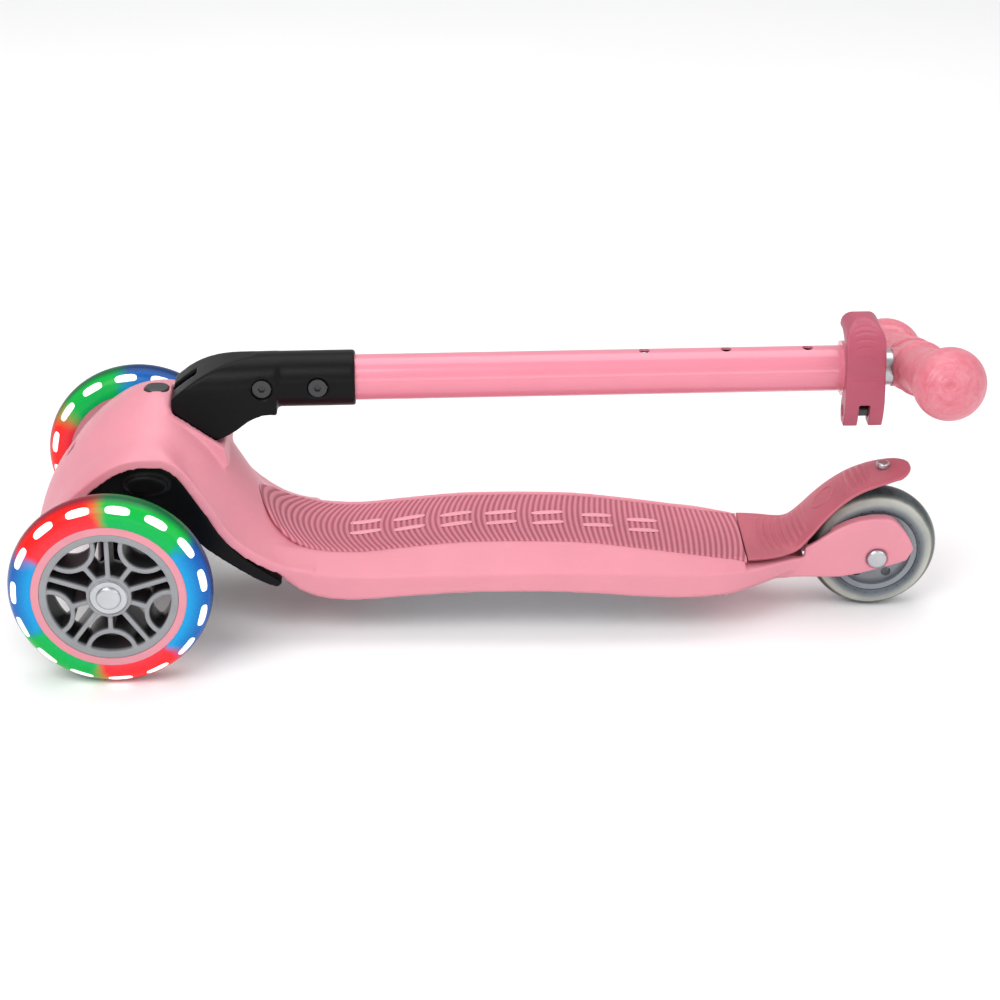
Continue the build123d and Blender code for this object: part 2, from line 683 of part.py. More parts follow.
skewer = Plane(origin=stem_frame(COLLAR_MID, STEM_OFFSET - SKEWER_DROP).origin,
               x_dir=(1, 0, 0), z_dir=(0, 1, 0))
with BuildPart() as clamp_collar:
    with BuildSketch(clamp_frame(COLLAR_START + 1)):
        Circle(COLLAR_R)
    extrude(amount=COLLAR_WIDTH - 2)
    with BuildSketch(clamp_frame(COLLAR_MID - LUG_HALF)):
        with Locations((0, -SKEWER_DROP + 2)):
            RectangleRounded(19, 22, 2)
    extrude(amount=2 * LUG_HALF)
    with BuildSketch(clamp_frame(COLLAR_START)):
        Circle(TUBE_R + RUNNING)
        with Locations((0, -SKEWER_DROP)):
            Rectangle(3, 26)
    extrude(amount=COLLAR_WIDTH, mode=Mode.SUBTRACT)
    # inner shoulder that stops the collar on the tube's end
    with BuildSketch(clamp_frame(TUBE_END + 0.1)):
        Circle(COLLAR_R)
        Circle(INNER_R + 0.4, mode=Mode.SUBTRACT)
    extrude(amount=COLLAR_START + COLLAR_WIDTH - 1 - TUBE_END - 0.1)
    with Locations(clamp_frame(COLLAR_MID) * Location((0, -SKEWER_DROP, 0), (0, 90, 0))):
        Cylinder(2.6, 60, mode=Mode.SUBTRACT)
    # spot faces beside the lug for the nut and for the lever
    for side in (-1, 1):
        with BuildSketch(skewer.offset(side * 9.5)):
            Circle(5.8)
        extrude(amount=side * 12, mode=Mode.SUBTRACT)

with BuildPart() as clamp_skewer:
    with BuildSketch(skewer.offset(BARREL_SIDE)):
        Circle(2.5)
    extrude(amount=15 - BARREL_SIDE)

with BuildPart() as clamp_nut:
    with BuildSketch(skewer.offset(9.5)):
        Circle(5)
        Circle(2.5, mode=Mode.SUBTRACT)
    extrude(amount=5.5)
    chamfer(clamp_nut.edges().filter_by(GeomType.CIRCLE).group_by(Axis.Y)[-1].sort_by(
        SortBy.RADIUS)[-1], 1)

with BuildPart() as clamp_barrel:
    with BuildSketch(clamp_frame(COLLAR_MID - LEVER_WIDTH / 2 + 1)):
        with Locations((BARREL_SIDE, -SKEWER_DROP)):
            Circle(3.5)
    extrude(amount=LEVER_WIDTH - 2)
    add(clamp_skewer.part, mode=Mode.SUBTRACT)

with BuildPart() as clamp_lever:
    with BuildSketch(clamp_frame(COLLAR_MID - LEVER_WIDTH / 2)):
        with BuildLine():
            inner = CenterArc((0, 4), 22.5, 80, 122)
            outer = CenterArc((-1.5, LEVER_TOP - 25.5), 25.5, 76, 114)
            heel = (BARREL_SIDE - 4.5, -SKEWER_DROP - LEVER_R + 1)
            toe = (BARREL_SIDE + 4.5, -SKEWER_DROP - LEVER_R + 1)
            Spline(outer @ 1, (BARREL_SIDE - 7.5, -SKEWER_DROP - 2), heel)
            Line(heel, toe)
            Spline(toe, (BARREL_SIDE + 7.0, -SKEWER_DROP - 3), inner @ 1)
            ThreePointArc(inner @ 0, (8.6, 30.8), outer @ 0)
        make_face()
        with Locations((BARREL_SIDE, -SKEWER_DROP)):
            Circle(3.5 + RUNNING, mode=Mode.SUBTRACT)
    extrude(amount=LEVER_WIDTH)
    # fork slot around the skewer, open at the foot of the lever
    with BuildSketch(clamp_frame(COLLAR_MID - 3.3)):
        with Locations((BARREL_SIDE, -SKEWER_DROP - 2)):
            Rectangle(24, 18)
    extrude(amount=6.6, mode=Mode.SUBTRACT)
    # the side view's corners are round
    with BuildSketch(Plane(origin=clamp_frame(COLLAR_MID).origin, z_dir=(0, -1, 0),
                           x_dir=clamp_frame(0).z_dir)):
        with Locations((0, LEVER_TOP - 40)):
            RectangleRounded(LEVER_WIDTH, 80, 11)
    extrude(amount=60, both=True, mode=Mode.INTERSECT)


# ---------------------------------------------------------------- handlebar
def bar_plane():
    """Plane through the stem axis and the crossbar: local x runs along the crossbar."""
    return stem_frame(BAR_AT, STEM_OFFSET, BAR_TWIST)


BAR_DIR = bar_plane().x_dir
BAR_POS = bar_plane().origin
PIN_AT = HEIGHT_HOLES[0]

with BuildPart() as bar_bush:
    with BuildSketch(clamp_frame(COLLAR_START - 6)):
        Circle(TUBE_BORE_R - RUNNING)
        Circle(INNER_R + RUNNING, mode=Mode.SUBTRACT)
    extrude(amount=27)

with BuildPart() as inner_tube:
    with BuildSketch(clamp_frame(232)):
        Circle(INNER_R)
        Circle(INNER_R - 1.5, mode=Mode.SUBTRACT)
    extrude(amount=BAR_AT - 232)
    with Locations(stem_frame(PIN_AT, STEM_OFFSET, BAR_TWIST) * Location(
            (0, INNER_R, 0), (90, 0, 0))):
        Cylinder(2.5 + RUNNING, 12, mode=Mode.SUBTRACT)
    with BuildSketch(Plane(origin=BAR_POS, z_dir=BAR_DIR)):
        Circle(9)
    extrude(amount=20, both=True, mode=Mode.SUBTRACT)

with BuildPart() as bar_core:
    with BuildSketch(Plane(origin=BAR_POS, z_dir=BAR_DIR)):
        Circle(9)
        Circle(7.5, mode=Mode.SUBTRACT)
    extrude(amount=108, both=True)

TEE_HALF = 12.0
with BuildPart() as bar_tee:
    with BuildSketch(Plane(origin=BAR_POS, z_dir=BAR_DIR)):
        Circle(15.5)
    extrude(amount=TEE_HALF, both=True)
    with BuildSketch(clamp_frame(BAR_AT - 15.5)):
        Circle(TEE_HALF - 0.05)
    extrude(amount=10)
    with BuildSketch(Plane(origin=BAR_POS, z_dir=BAR_DIR)):
        Circle(9)
    extrude(amount=20, both=True, mode=Mode.SUBTRACT)
    with BuildSketch(clamp_frame(BAR_AT - 20)):
        Circle(INNER_R)
    extrude(amount=20, mode=Mode.SUBTRACT)


def grip(side):
    """Ball-ended soft grip on one arm of the crossbar."""
    plane = Plane(origin=BAR_POS, x_dir=bar_plane().y_dir, z_dir=bar_plane().z_dir * -side)
    arm = Plane(origin=BAR_POS, z_dir=BAR_DIR * side)
    with BuildPart() as piece:
        with BuildSketch(plane):
            with BuildLine():
                Polyline([(5, TEE_HALF), (17, TEE_HALF), (17.2, TEE_HALF + 4)])
                Spline((17.2, TEE_HALF + 4), (15.2, TEE_HALF + 8), (14.6, 34), (15.6, 52),
                       (14.4, 68), (14.2, 80), (16.4, 88))
                Polyline([(16.4, 88), (5, 88), (5, TEE_HALF)])
            make_face()
        revolve(axis=Axis(BAR_POS, BAR_DIR))
        with Locations(arm.offset(BALL_AT)):
            Sphere(BALL_R)
        with BuildSketch(arm.offset(TEE_HALF)):
            Circle(9)
        extrude(amount=109 - TEE_HALF, mode=Mode.SUBTRACT)
        # small dimple in the end of the ball, turned a little forward
        outward = (arm.z_dir + Vector(-0.2, 0, 0.05)).normalized()
        with Locations(arm.offset(BALL_AT).origin + outward * (BALL_R + 2.5)):
            Sphere(5, mode=Mode.SUBTRACT)
    return piece


grip_left = grip(-1)
grip_right = grip(1)

with BuildPart() as height_pin:
    pin_plane = stem_frame(PIN_AT, STEM_OFFSET, BAR_TWIST)
    pin_axis = Plane(origin=pin_plane.origin, z_dir=pin_plane.y_dir)
    with BuildSketch(pin_axis.offset(7.2)):
        Circle(2.5)
    extrude(amount=TUBE_BORE_R - GAP - 7.2)
    fillet(height_pin.edges().filter_by(GeomType.CIRCLE).sort_by(Axis.Z)[-1], 0.8)
    with BuildSketch(pin_axis.offset(5.6)):
        Circle(4)
    extrude(amount=1.6)

pin_spring = coil_spring(pin_axis.offset(-8.6), 2.6, 0.4, 2.2, 13.6)

# ---------------------------------------------------------------- front truck
ARM_END = 71.0
BUSH_R = 11.5
with BuildPart() as truck_beam:
    with BuildSketch(kingpin_plane(-14)):
        Circle(17)
    extrude(amount=28)
    for side in (-1, 1):
        with BuildSketch(slab(side * 8)):
            with Locations((FRONT_X, FRONT_WHEEL_R)):
                RectangleRounded(30, 24, 6)
        with BuildSketch(slab(side * 45)):
            with Locations((FRONT_X, FRONT_WHEEL_R)):
                RectangleRounded(26, 22, 6)
        with BuildSketch(slab(side * ARM_END)):
            with Locations((FRONT_X, FRONT_WHEEL_R)):
                RectangleRounded(20, 20, 9)
        loft()
    with BuildSketch(slab(0)):
        with Locations((FRONT_X, FRONT_WHEEL_R)):
            Circle(9)
    extrude(amount=82, both=True)
    with BuildSketch(kingpin_plane(-14)):
        Circle(KINGPIN_R + RUNNING)
    extrude(amount=28, mode=Mode.SUBTRACT)
    # seats of the two rubber bushes
    for low in (-30, 14):
        with BuildSketch(kingpin_plane(low)):
            Circle(BUSH_R)
        extrude(amount=16, mode=Mode.SUBTRACT)
    # blind bores of the two axle bolts
    for side in (-1, 1):
        with BuildSketch(slab(side * 82)):
            with Locations((FRONT_X, FRONT_WHEEL_R)):
                Circle(4)
        extrude(amount=side * 40, mode=Mode.SUBTRACT)

with BuildPart() as steer_bushes:
    for low in (-24, 14):
        with BuildSketch(kingpin_plane(low)):
            Circle(BUSH_R)
            Circle(KINGPIN_R + RUNNING, mode=Mode.SUBTRACT)
        extrude(amount=10)

# ---------------------------------------------------------------- wheels
TYRE_IN = 45.6
TYRE_HALF = 12.5
RIM_HALF = 12.0
LIGHTS = 15
LIGHT_ARC = 17.0
LIGHT_AT = 56.0
LIGHT_START = {-1: 1.7, 1: 14.0}  # where the first bar starts on each wheel, degrees
HUB_R = 13.2
BEARING_R = 11.0
BEARING_WIDE = 7.0


def tyre_section(outer, inner, half, round_r):
    """Half-plane section of a solid tyre with a rounded tread."""
    with BuildLine() as section:
        Polyline([(outer - round_r, half), (inner, half), (inner, -half),
                  (outer - round_r, -half)])
        ThreePointArc((outer - round_r, -half), (outer, 0), (outer - round_r, half))
    return section


def front_wheel(side):
    """Pieces of one front wheel; side is -1 for the rider's left and 1 for the right."""
    centre = (FRONT_X, side * TRACK / 2, FRONT_WHEEL_R)
    face = wheel_frame(*centre, side)
    ring = ring_frame(*centre, side)
    spin = axle(*centre, side)
    with BuildPart() as lights:
        with BuildSketch(ring):
            add(tyre_section(FRONT_WHEEL_R, TYRE_IN, TYRE_HALF, 11.6).line)
            make_face()
            with Locations((LIGHT_AT, 0)):
                Rectangle(5.5, 40, mode=Mode.INTERSECT)
        revolve(axis=spin, revolution_arc=LIGHT_ARC)
    with BuildPart() as light_bars:
        for k in range(LIGHTS):
            add(lights.part.rotate(spin, k * 360 / LIGHTS + LIGHT_START[side]))
    with BuildPart() as tyre:
        with BuildSketch(ring):
            add(tyre_section(FRONT_WHEEL_R, TYRE_IN, TYRE_HALF, 11.6).line)
            make_face()
        revolve(axis=spin)
        add(light_bars.part, mode=Mode.SUBTRACT)
    with BuildPart() as band:
        with BuildSketch(face.offset(-RIM_HALF)):
            Circle(TYRE_IN)
            Circle(41, mode=Mode.SUBTRACT)
        extrude(amount=2 * RIM_HALF)
    with BuildPart() as core:
        with BuildSketch(face.offset(-RIM_HALF)):
            Circle(41)
            Circle(36.5, mode=Mode.SUBTRACT)
        extrude(amount=2 * RIM_HALF)
        with BuildSketch(face.offset(-RIM_HALF + 1)):
            for k in range(5):
                turn = 90 + 72 * k
                with Locations(Rotation(0, 0, turn)):
                    with Locations((24.5, 0)):
                        Rectangle(26, 2.8)
                with Locations(Rotation(0, 0, turn + 36)):
                    with Locations((17.5, 0)):
                        Rectangle(13, 2.8)
                    with Locations((37.8, 0)):
                        Circle(15.7)
                        Circle(12.9, mode=Mode.SUBTRACT)
            Circle(37, mode=Mode.INTERSECT)
            Circle(HUB_R)
        extrude(amount=2 * RIM_HALF - 2)
        with BuildSketch(face.offset(-RIM_HALF)):
            Circle(HUB_R)
        extrude(amount=2 * RIM_HALF)
        with BuildSketch(face.offset(-RIM_HALF)):
            Circle(BEARING_R - 1.5)
        extrude(amount=2 * RIM_HALF, mode=Mode.SUBTRACT)
        for low in (-RIM_HALF, RIM_HALF - BEARING_WIDE - 0.5):
            with BuildSketch(face.offset(low)):
                Circle(BEARING_R)
            extrude(amount=BEARING_WIDE + 0.5, mode=Mode.SUBTRACT)
    with BuildPart() as bearings:
        for low in (-RIM_HALF + 0.5, RIM_HALF - BEARING_WIDE - 0.5):
            with BuildSketch(face.offset(low)):
                Circle(BEARING_R)
                Circle(4 + RUNNING, mode=Mode.SUBTRACT)
            extrude(amount=BEARING_WIDE)
    with BuildPart() as magnet:
        with BuildSketch(face.offset(-RIM_HALF + BEARING_WIDE + 0.5)):
            Circle(7.5)
            Circle(4 + RUNNING, mode=Mode.SUBTRACT)
        extrude(amount=2 * RIM_HALF - 2 * BEARING_WIDE - 1)
    with BuildPart() as bolt:
        with BuildSketch(face.offset(-52)):
            Circle(4)
        extrude(amount=52 + RIM_HALF)
        with BuildSketch(face.offset(RIM_HALF - 0.4)):
            Circle(10.4)
        extrude(amount=1.2)
        with BuildSketch(face.offset(RIM_HALF)):
            Circle(7.4)
        extrude(amount=2.8)
        rim = bolt.edges().filter_by(GeomType.CIRCLE).group_by(Axis.Y)[-1 if side > 0 else 0]
        fillet(rim, 1.9)
    return {"front_tyre": tyre, "front_lights": light_bars, "front_band": band,
            "front_core": core, "front_bearings": bearings, "front_magnet": magnet,
            "front_axle": bolt}


REAR_IN = 27.0
with BuildPart() as rear_tyre:
    with BuildSketch(ring_frame(REAR_X, 0, REAR_WHEEL_R, 1)):
        add(tyre_section(REAR_WHEEL_R, REAR_IN, 12, 10.8).line)
        make_face()
    revolve(axis=axle(REAR_X, 0, REAR_WHEEL_R))

with BuildPart() as rear_core:
    rear_face = wheel_frame(REAR_X, 0, REAR_WHEEL_R, 1)
    with BuildSketch(rear_face.offset(-11)):
        Circle(REAR_IN)
        Circle(23.5, mode=Mode.SUBTRACT)
    extrude(amount=22)
    with BuildSketch(rear_face.offset(-7)):
        Circle(24)
    extrude(amount=14)
    with BuildSketch(rear_face.offset(-12)):
        Circle(13)
    extrude(amount=24)
    with BuildSketch(rear_face.offset(-12)):
        with PolarLocations(18.6, 6):
            Circle(3.2)
        Circle(BEARING_R - 1.5)
    extrude(amount=24, mode=Mode.SUBTRACT)
    for low in (-12, 12 - BEARING_WIDE - 0.5):
        with BuildSketch(rear_face.offset(low)):
            Circle(BEARING_R)
        extrude(amount=BEARING_WIDE + 0.5, mode=Mode.SUBTRACT)

with BuildPart() as rear_bearings:
    for low in (-11.5, 12 - BEARING_WIDE - 0.5):
        with BuildSketch(rear_face.offset(low)):
            Circle(BEARING_R)
            Circle(4 + RUNNING, mode=Mode.SUBTRACT)
        extrude(amount=BEARING_WIDE)

with BuildPart() as rear_spacers:
    for low, long in ((-CHEEK_IN, CHEEK_IN - 11.55), (-4.45, 8.9), (11.55, CHEEK_IN - 11.55)):
        with BuildSketch(rear_face.offset(low)):
            Circle(6.5)
            Circle(4, mode=Mode.SUBTRACT)
        extrude(amount=long)

with BuildPart() as rear_axle_bolt:
    with BuildSketch(rear_face.offset(-20)):
        Circle(4)
    extrude(amount=43.5)
    with BuildSketch(rear_face.offset(-23)):
        Circle(6.4)
    extrude(amount=3.7)
    fillet(rear_axle_bolt.edges().filter_by(GeomType.CIRCLE).group_by(Axis.Y)[0], 2.2)

with BuildPart() as rear_axle_nut:
    with BuildSketch(rear_face.offset(19.3)):
        RegularPolygon(6.9, 6)
        Circle(4, mode=Mode.SUBTRACT)
    extrude(amount=4)

# ---------------------------------------------------------------- foot brake
# The fender's side-view line along its shoulders, with how far its middle stands above
# the shoulders, as (x, z, crown).
FENDER_LINE = [(386.5, 47.0, 0), (398, 47.2, 0), (410, 48.4, 0.3), (418, 52.0, 1.5),
               (425, 59.0, 2.2), (433, 68.2, 2.6), (442, 76.8, 2.8), (453, 84.5, 3.0),
               (465, 89.6, 3.2), (477, 92.4, 3.1), (486, 93.2, 3.0), (493, 93.6, 3.0)]
FENDER_THICK = 2.5
SHOULDER = 18.0  # half width at which the shoulders' line is measured
PAD_THICK = 3.0
RIVET_AT = (FRONT_X + 472.5, 0)


def fender_band(y, near, far):
    """Side-view band of the fender at y, between two depths under its outer skin."""
    dome = 1 - (abs(y) / SHOULDER) ** 2.6
    skin = [Vector(FRONT_X + x, z + crown * dome) for x, z, crown in FENDER_LINE]
    runs = [(after - before).normalized() for before, after in
            zip([skin[0]] + skin[:-1], skin[1:] + [skin[-1]])]
    top = [here + Vector(run.Y, -run.X) * near for here, run in zip(skin, runs)]
    low = [here + Vector(run.Y, -run.X) * far for here, run in zip(skin, runs)]
    with BuildLine() as band:
        Spline(top)
        Line(top[-1], low[-1])
        Spline(list(reversed(low)))
        Line(low[0], top[0])
    return band


def fender_layer(near, far):
    """Domed layer of the fender between two depths under its outer skin."""
    with BuildPart() as layer:
        for y in (-34, -24, -16, -8, 0, 8, 16, 24, 34):
            with BuildSketch(slab(y)):
                add(fender_band(y, near, far).line)
                make_face()
        loft()
    return layer


with BuildPart() as brake_rivet:
    with BuildSketch(Plane.XY.offset(90.6)):
        with Locations(RIVET_AT):
            Circle(2.4)
    extrude(amount=5)
    with BuildSketch(Plane.XY.offset(95)):
        with Locations(RIVET_AT):
            Circle(4.2)
    extrude(amount=3)
    fillet(brake_rivet.edges().filter_by(GeomType.CIRCLE).sort_by(Axis.Z)[-1], 1.2)

with BuildPart() as fender:
    add(fender_layer(0, FENDER_THICK).part)
    with BuildSketch(Plane.XY.offset(30)):
        with BuildLine():
            edge = front([(386.5, 33), (400, 31), (414, 26.5), (430, 22.5), (450, 19.5),
                          (470, 18), (482, 15.5)])
            Spline(edge)
            ThreePointArc(edge[-1], (FRONT_X + 489.8, 0), (edge[-1][0], -edge[-1][1]))
            Spline([(x, -y) for x, y in reversed(edge)])
            Line((edge[0][0], -edge[0][1]), edge[0])
        make_face()
    extrude(amount=80, mode=Mode.INTERSECT)
    # hinge lugs that reach down to the brake pin
    for y in (-13, 7):
        with BuildSketch(slab(y)):
            with BuildLine():
                Polyline([(BRAKE_PIN[0] - 6, 45), (BRAKE_PIN[0] - 5, 35), (BRAKE_PIN[0], 31.8),
                          (BRAKE_PIN[0] + 5, 35), (BRAKE_PIN[0] + 14, 46)], close=True)
            make_face()
            with Locations(BRAKE_PIN):
                Circle(2.5 + RUNNING, mode=Mode.SUBTRACT)
        extrude(amount=-6)
    add(brake_rivet.part, mode=Mode.SUBTRACT)

with BuildPart() as brake_plate:
    add(fender_layer(FENDER_THICK + 0.02, FENDER_THICK + PAD_THICK).part)
    with BuildSketch(Plane.XY.offset(60)):
        with Locations((RIVET_AT[0] - 4, 0)):
            RectangleRounded(24, 20, 3)
    extrude(amount=60, mode=Mode.INTERSECT)
    add(brake_rivet.part, mode=Mode.SUBTRACT)

with BuildPart() as brake_pin:
    with BuildSketch(slab(0)):
        with Locations(BRAKE_PIN):
            Circle(2.5)
    extrude(amount=22, both=True)

brake_spring = coil_spring(Plane(origin=(BRAKE_PIN[0], -5.6, BRAKE_PIN[1]), z_dir=(0, 1, 0)),
                           3.4, 0.6, 2.2, 11)

# ---------------------------------------------------------------- write the pieces
pieces = {
    "deck_frame": deck_frame, "deck_mat": deck_mat, "deck_plate": deck_plate,
    "plate_screws": plate_screws, "truck_housing": truck_housing,
    "neck_bracket": neck_bracket, "bracket_screws": bracket_screws, "hinge_pin": hinge_pin,
    "fold_button": fold_button, "button_spring": button_spring, "kingpin": kingpin,
    "kingpin_washer": kingpin_washer, "kingpin_nut": kingpin_nut,
    "sleeve_left": sleeve_left, "sleeve_right": sleeve_right, "sleeve_bolts": sleeve_bolts,
    "sleeve_nuts": sleeve_nuts, "stem_tube": stem_tube, "clamp_collar": clamp_collar,
    "clamp_skewer": clamp_skewer, "clamp_nut": clamp_nut, "clamp_barrel": clamp_barrel,
    "clamp_lever": clamp_lever, "bar_bush": bar_bush, "inner_tube": inner_tube,
    "bar_core": bar_core, "bar_tee": bar_tee, "grip_left": grip_left,
    "grip_right": grip_right, "height_pin": height_pin, "pin_spring": pin_spring,
    "truck_beam": truck_beam, "steer_bushes": steer_bushes, "rear_tyre": rear_tyre,
    "rear_core": rear_core, "rear_bearings": rear_bearings, "rear_spacers": rear_spacers,
    "rear_axle_bolt": rear_axle_bolt, "rear_axle_nut": rear_axle_nut, "fender": fender,
    "brake_plate": brake_plate, "brake_pin": brake_pin, "brake_spring": brake_spring,
    "brake_rivet": brake_rivet,
}
for side, name in ((-1, "left"), (1, "right")):
    for label, piece in front_wheel(side).items():
        pieces[label + "_" + name] = piece

for label, piece in pieces.items():
    save(piece, label)
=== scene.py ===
"""Looks of the folding kick scooter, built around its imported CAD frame. Metres, row frame."""
import json
import math

import bmesh
import bpy
from mathutils import Matrix, Vector, noise


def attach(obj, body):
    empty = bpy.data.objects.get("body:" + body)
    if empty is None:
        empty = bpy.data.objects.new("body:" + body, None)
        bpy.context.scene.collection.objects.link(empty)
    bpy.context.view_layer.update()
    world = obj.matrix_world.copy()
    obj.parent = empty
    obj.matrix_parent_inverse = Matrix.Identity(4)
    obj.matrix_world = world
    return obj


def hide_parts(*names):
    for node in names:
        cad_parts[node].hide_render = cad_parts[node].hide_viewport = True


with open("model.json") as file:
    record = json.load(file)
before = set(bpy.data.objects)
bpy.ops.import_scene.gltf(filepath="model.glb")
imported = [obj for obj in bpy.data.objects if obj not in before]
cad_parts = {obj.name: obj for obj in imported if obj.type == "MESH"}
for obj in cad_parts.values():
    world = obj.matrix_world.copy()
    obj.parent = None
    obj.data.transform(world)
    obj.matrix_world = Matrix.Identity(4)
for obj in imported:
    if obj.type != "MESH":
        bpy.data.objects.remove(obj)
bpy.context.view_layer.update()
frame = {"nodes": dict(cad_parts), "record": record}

NODES = frame["nodes"]

# ---------------------------------------------------------------- sizes shared with the CAD model
FRONT_X = -0.224
REAR_X = 0.2457
FRONT_R = 0.0605
REAR_R = 0.0406
TRACK = 0.1936
HINGE = Vector((-0.1648, 0.0, 0.1458))
TILT = math.radians(1.35)
TWIST = math.radians(-17.1)
ALONG = Vector((math.cos(TILT), 0, math.sin(TILT)))
UP = Vector((-math.sin(TILT), 0, math.cos(TILT)))
SIDE = Vector((0, 1, 0))
STEM_OFFSET = 0.0069
BAR_AT = 0.4283
COLLAR_MID = 0.39285
BALL_AT, BALL_R = 0.100, 0.0218
# ridges of the mat: pitch, height, curvature at x 0.1 and its loss per metre
RIDGE_PITCH, RIDGE_RISE = 0.0036, 0.0008
BOW_START, BOW_CHANGE = 0.012, 0.0528


def stem(along, side=0.0, up=0.0):
    """Point in the row frame from distances along, beside and above the stem tube's axis."""
    return HINGE + ALONG * along + SIDE * side + UP * (up + STEM_OFFSET)


# ---------------------------------------------------------------- camera
CAMERA_TURN, CAMERA_DIP, CAMERA_ROLL = 2.37, 25.99, 1.08  # degrees
CAMERA_LENS, CAMERA_SENSOR = 89.4, 36  # millimetres
CAMERA_AIM, CAMERA_DISTANCE = (0.00897, 0, 0.07117), 1.55706


def make_camera():
    turn, dip, roll = (math.radians(a) for a in (CAMERA_TURN, CAMERA_DIP, CAMERA_ROLL))
    forward = Vector((math.sin(turn) * math.cos(dip), math.cos(turn) * math.cos(dip),
                      -math.sin(dip)))
    right = Vector((math.cos(turn), -math.sin(turn), 0))
    up = right.cross(forward)
    right, up = (right * math.cos(roll) + up * math.sin(roll),
                 up * math.cos(roll) - right * math.sin(roll))
    data = bpy.data.cameras.new("camera")
    data.lens = CAMERA_LENS
    data.sensor_width = CAMERA_SENSOR
    data.clip_end = 50
    camera = bpy.data.objects.new("camera", data)
    bpy.context.scene.collection.objects.link(camera)
    camera.matrix_world = Matrix((right, up, -forward)).transposed().to_4x4()
    camera.location = Vector(CAMERA_AIM) - forward * CAMERA_DISTANCE
    bpy.context.scene.camera = camera


make_camera()


# ---------------------------------------------------------------- shader helpers
class Look:
    """A material being built: a Principled shader and short calls for the nodes before it."""

    def __init__(self, name):
        self.material = bpy.data.materials.new(name)
        self.material.use_nodes = True
        self.tree = self.material.node_tree
        self.bsdf = self.tree.nodes["Principled BSDF"]
        self.coords = self.node("ShaderNodeTexCoord").outputs["Object"]

    def node(self, kind, props=None, inputs=None):
        made = self.tree.nodes.new(kind)
        for key, value in (props or {}).items():
            setattr(made, key, value)
        for key, value in (inputs or {}).items():
            self.feed(made.inputs[key], value)
        return made

    def feed(self, socket, value):
        if isinstance(value, bpy.types.NodeSocket):
            self.tree.links.new(value, socket)
        else:
            socket.default_value = value

    def set(self, **values):
        for key, value in values.items():
            self.feed(self.bsdf.inputs[key.replace("_", " ")], value)

    def math(self, operation, a, b=0.0, c=0.0, clamp=False):
        made = self.node("ShaderNodeMath", {"operation": operation, "use_clamp": clamp})
        for socket, value in zip(made.inputs, (a, b, c)):
            self.feed(socket, value)
        return made.outputs[0]

    def noise(self, scale, detail=2.0, rough=0.5, stretch=None, distortion=0.0):
        vector = self.coords
        if stretch:
            vector = self.node("ShaderNodeMapping", None,
                               {"Vector": vector, "Scale": stretch}).outputs[0]
        return self.node("ShaderNodeTexNoise", None, {
            "Vector": vector, "Scale": scale, "Detail": detail, "Roughness": rough,
            "Distortion": distortion}).outputs["Fac"]

    def ramp(self, value, stops, interpolation="LINEAR"):
        made = self.node("ShaderNodeValToRGB", None, {"Fac": value})
        made.color_ramp.interpolation = interpolation
        marks = made.color_ramp.elements
        while len(marks) < len(stops):
            marks.new(0.5)
        for mark, (place, colour) in zip(marks, stops):
            mark.position = place
            mark.color = (*colour, 1.0)
        return made.outputs["Color"]

    def span(self, value, low, ridge_tops_and_highlight, out_low=0.0, out_high=1.0):
        return self.node("ShaderNodeMapRange", None, {
            "Value": value, "From Min": low, "From Max": ridge_tops_and_highlight,
            "To Min": out_low, "To Max": out_high}).outputs["Result"]

    def mix(self, fac, a, b, blend="MIX"):
        made = self.node("ShaderNodeMix", {"data_type": "RGBA", "blend_type": blend})
        self.feed(made.inputs[0], fac)
        for socket, value in ((made.inputs[6], a), (made.inputs[7], b)):
            self.feed(socket, (*value, 1.0) if isinstance(value, tuple) else value)
        return made.outputs[2]

    def bump(self, height, depth, strength=1.0, under=None):
        inputs = {"Height": height, "Distance": depth, "Strength": strength}
        if under is not None:
            inputs["Normal"] = under
        return self.node("ShaderNodeBump", None, inputs).outputs["Normal"]


def shade(colour, factor):
    return tuple(min(1.0, c * factor) for c in colour)


def moulded(name, colour, rough=0.4, drift=0.06, grain=2600.0, depth=0.00006, scuff=0.12,
            coat=0.0, subsurface=0.0, specular=0.5):
    """Moulded plastic or paint: slow colour drift, fine grain, scuffs that vary the gloss."""
    look = Look(name)
    slow = look.noise(22.0, 4.0, 0.6)
    colour_out = look.ramp(look.span(slow, 0.3, 0.7), [
        (0.0, shade(colour, 1 - drift)), (1.0, shade(colour, 1 + drift))])
    fine = look.noise(grain, 3.0, 0.6)
    scratches = look.noise(160.0, 3.0, 0.7, stretch=(0.3, 1.0, 2.2))
    marks = look.span(scratches, 0.55, 0.75)
    look.set(Base_Color=look.mix(look.math("MULTIPLY", marks, 0.35), colour_out,
                                 shade(colour, 1.12)))
    look.set(Roughness=look.math("ADD", look.math("MULTIPLY", marks, scuff),
                                 look.span(slow, 0.3, 0.7, rough - 0.03, rough + 0.04)))
    look.set(Normal=look.bump(fine, depth, 0.5))
    look.set(Specular_IOR_Level=specular)
    look.set(Coat_Weight=coat)
    look.set(Coat_Roughness=0.12)
    if subsurface:
        look.set(Subsurface_Weight=subsurface)
        look.set(Subsurface_Radius=(0.006, 0.002, 0.002))
    return look.material


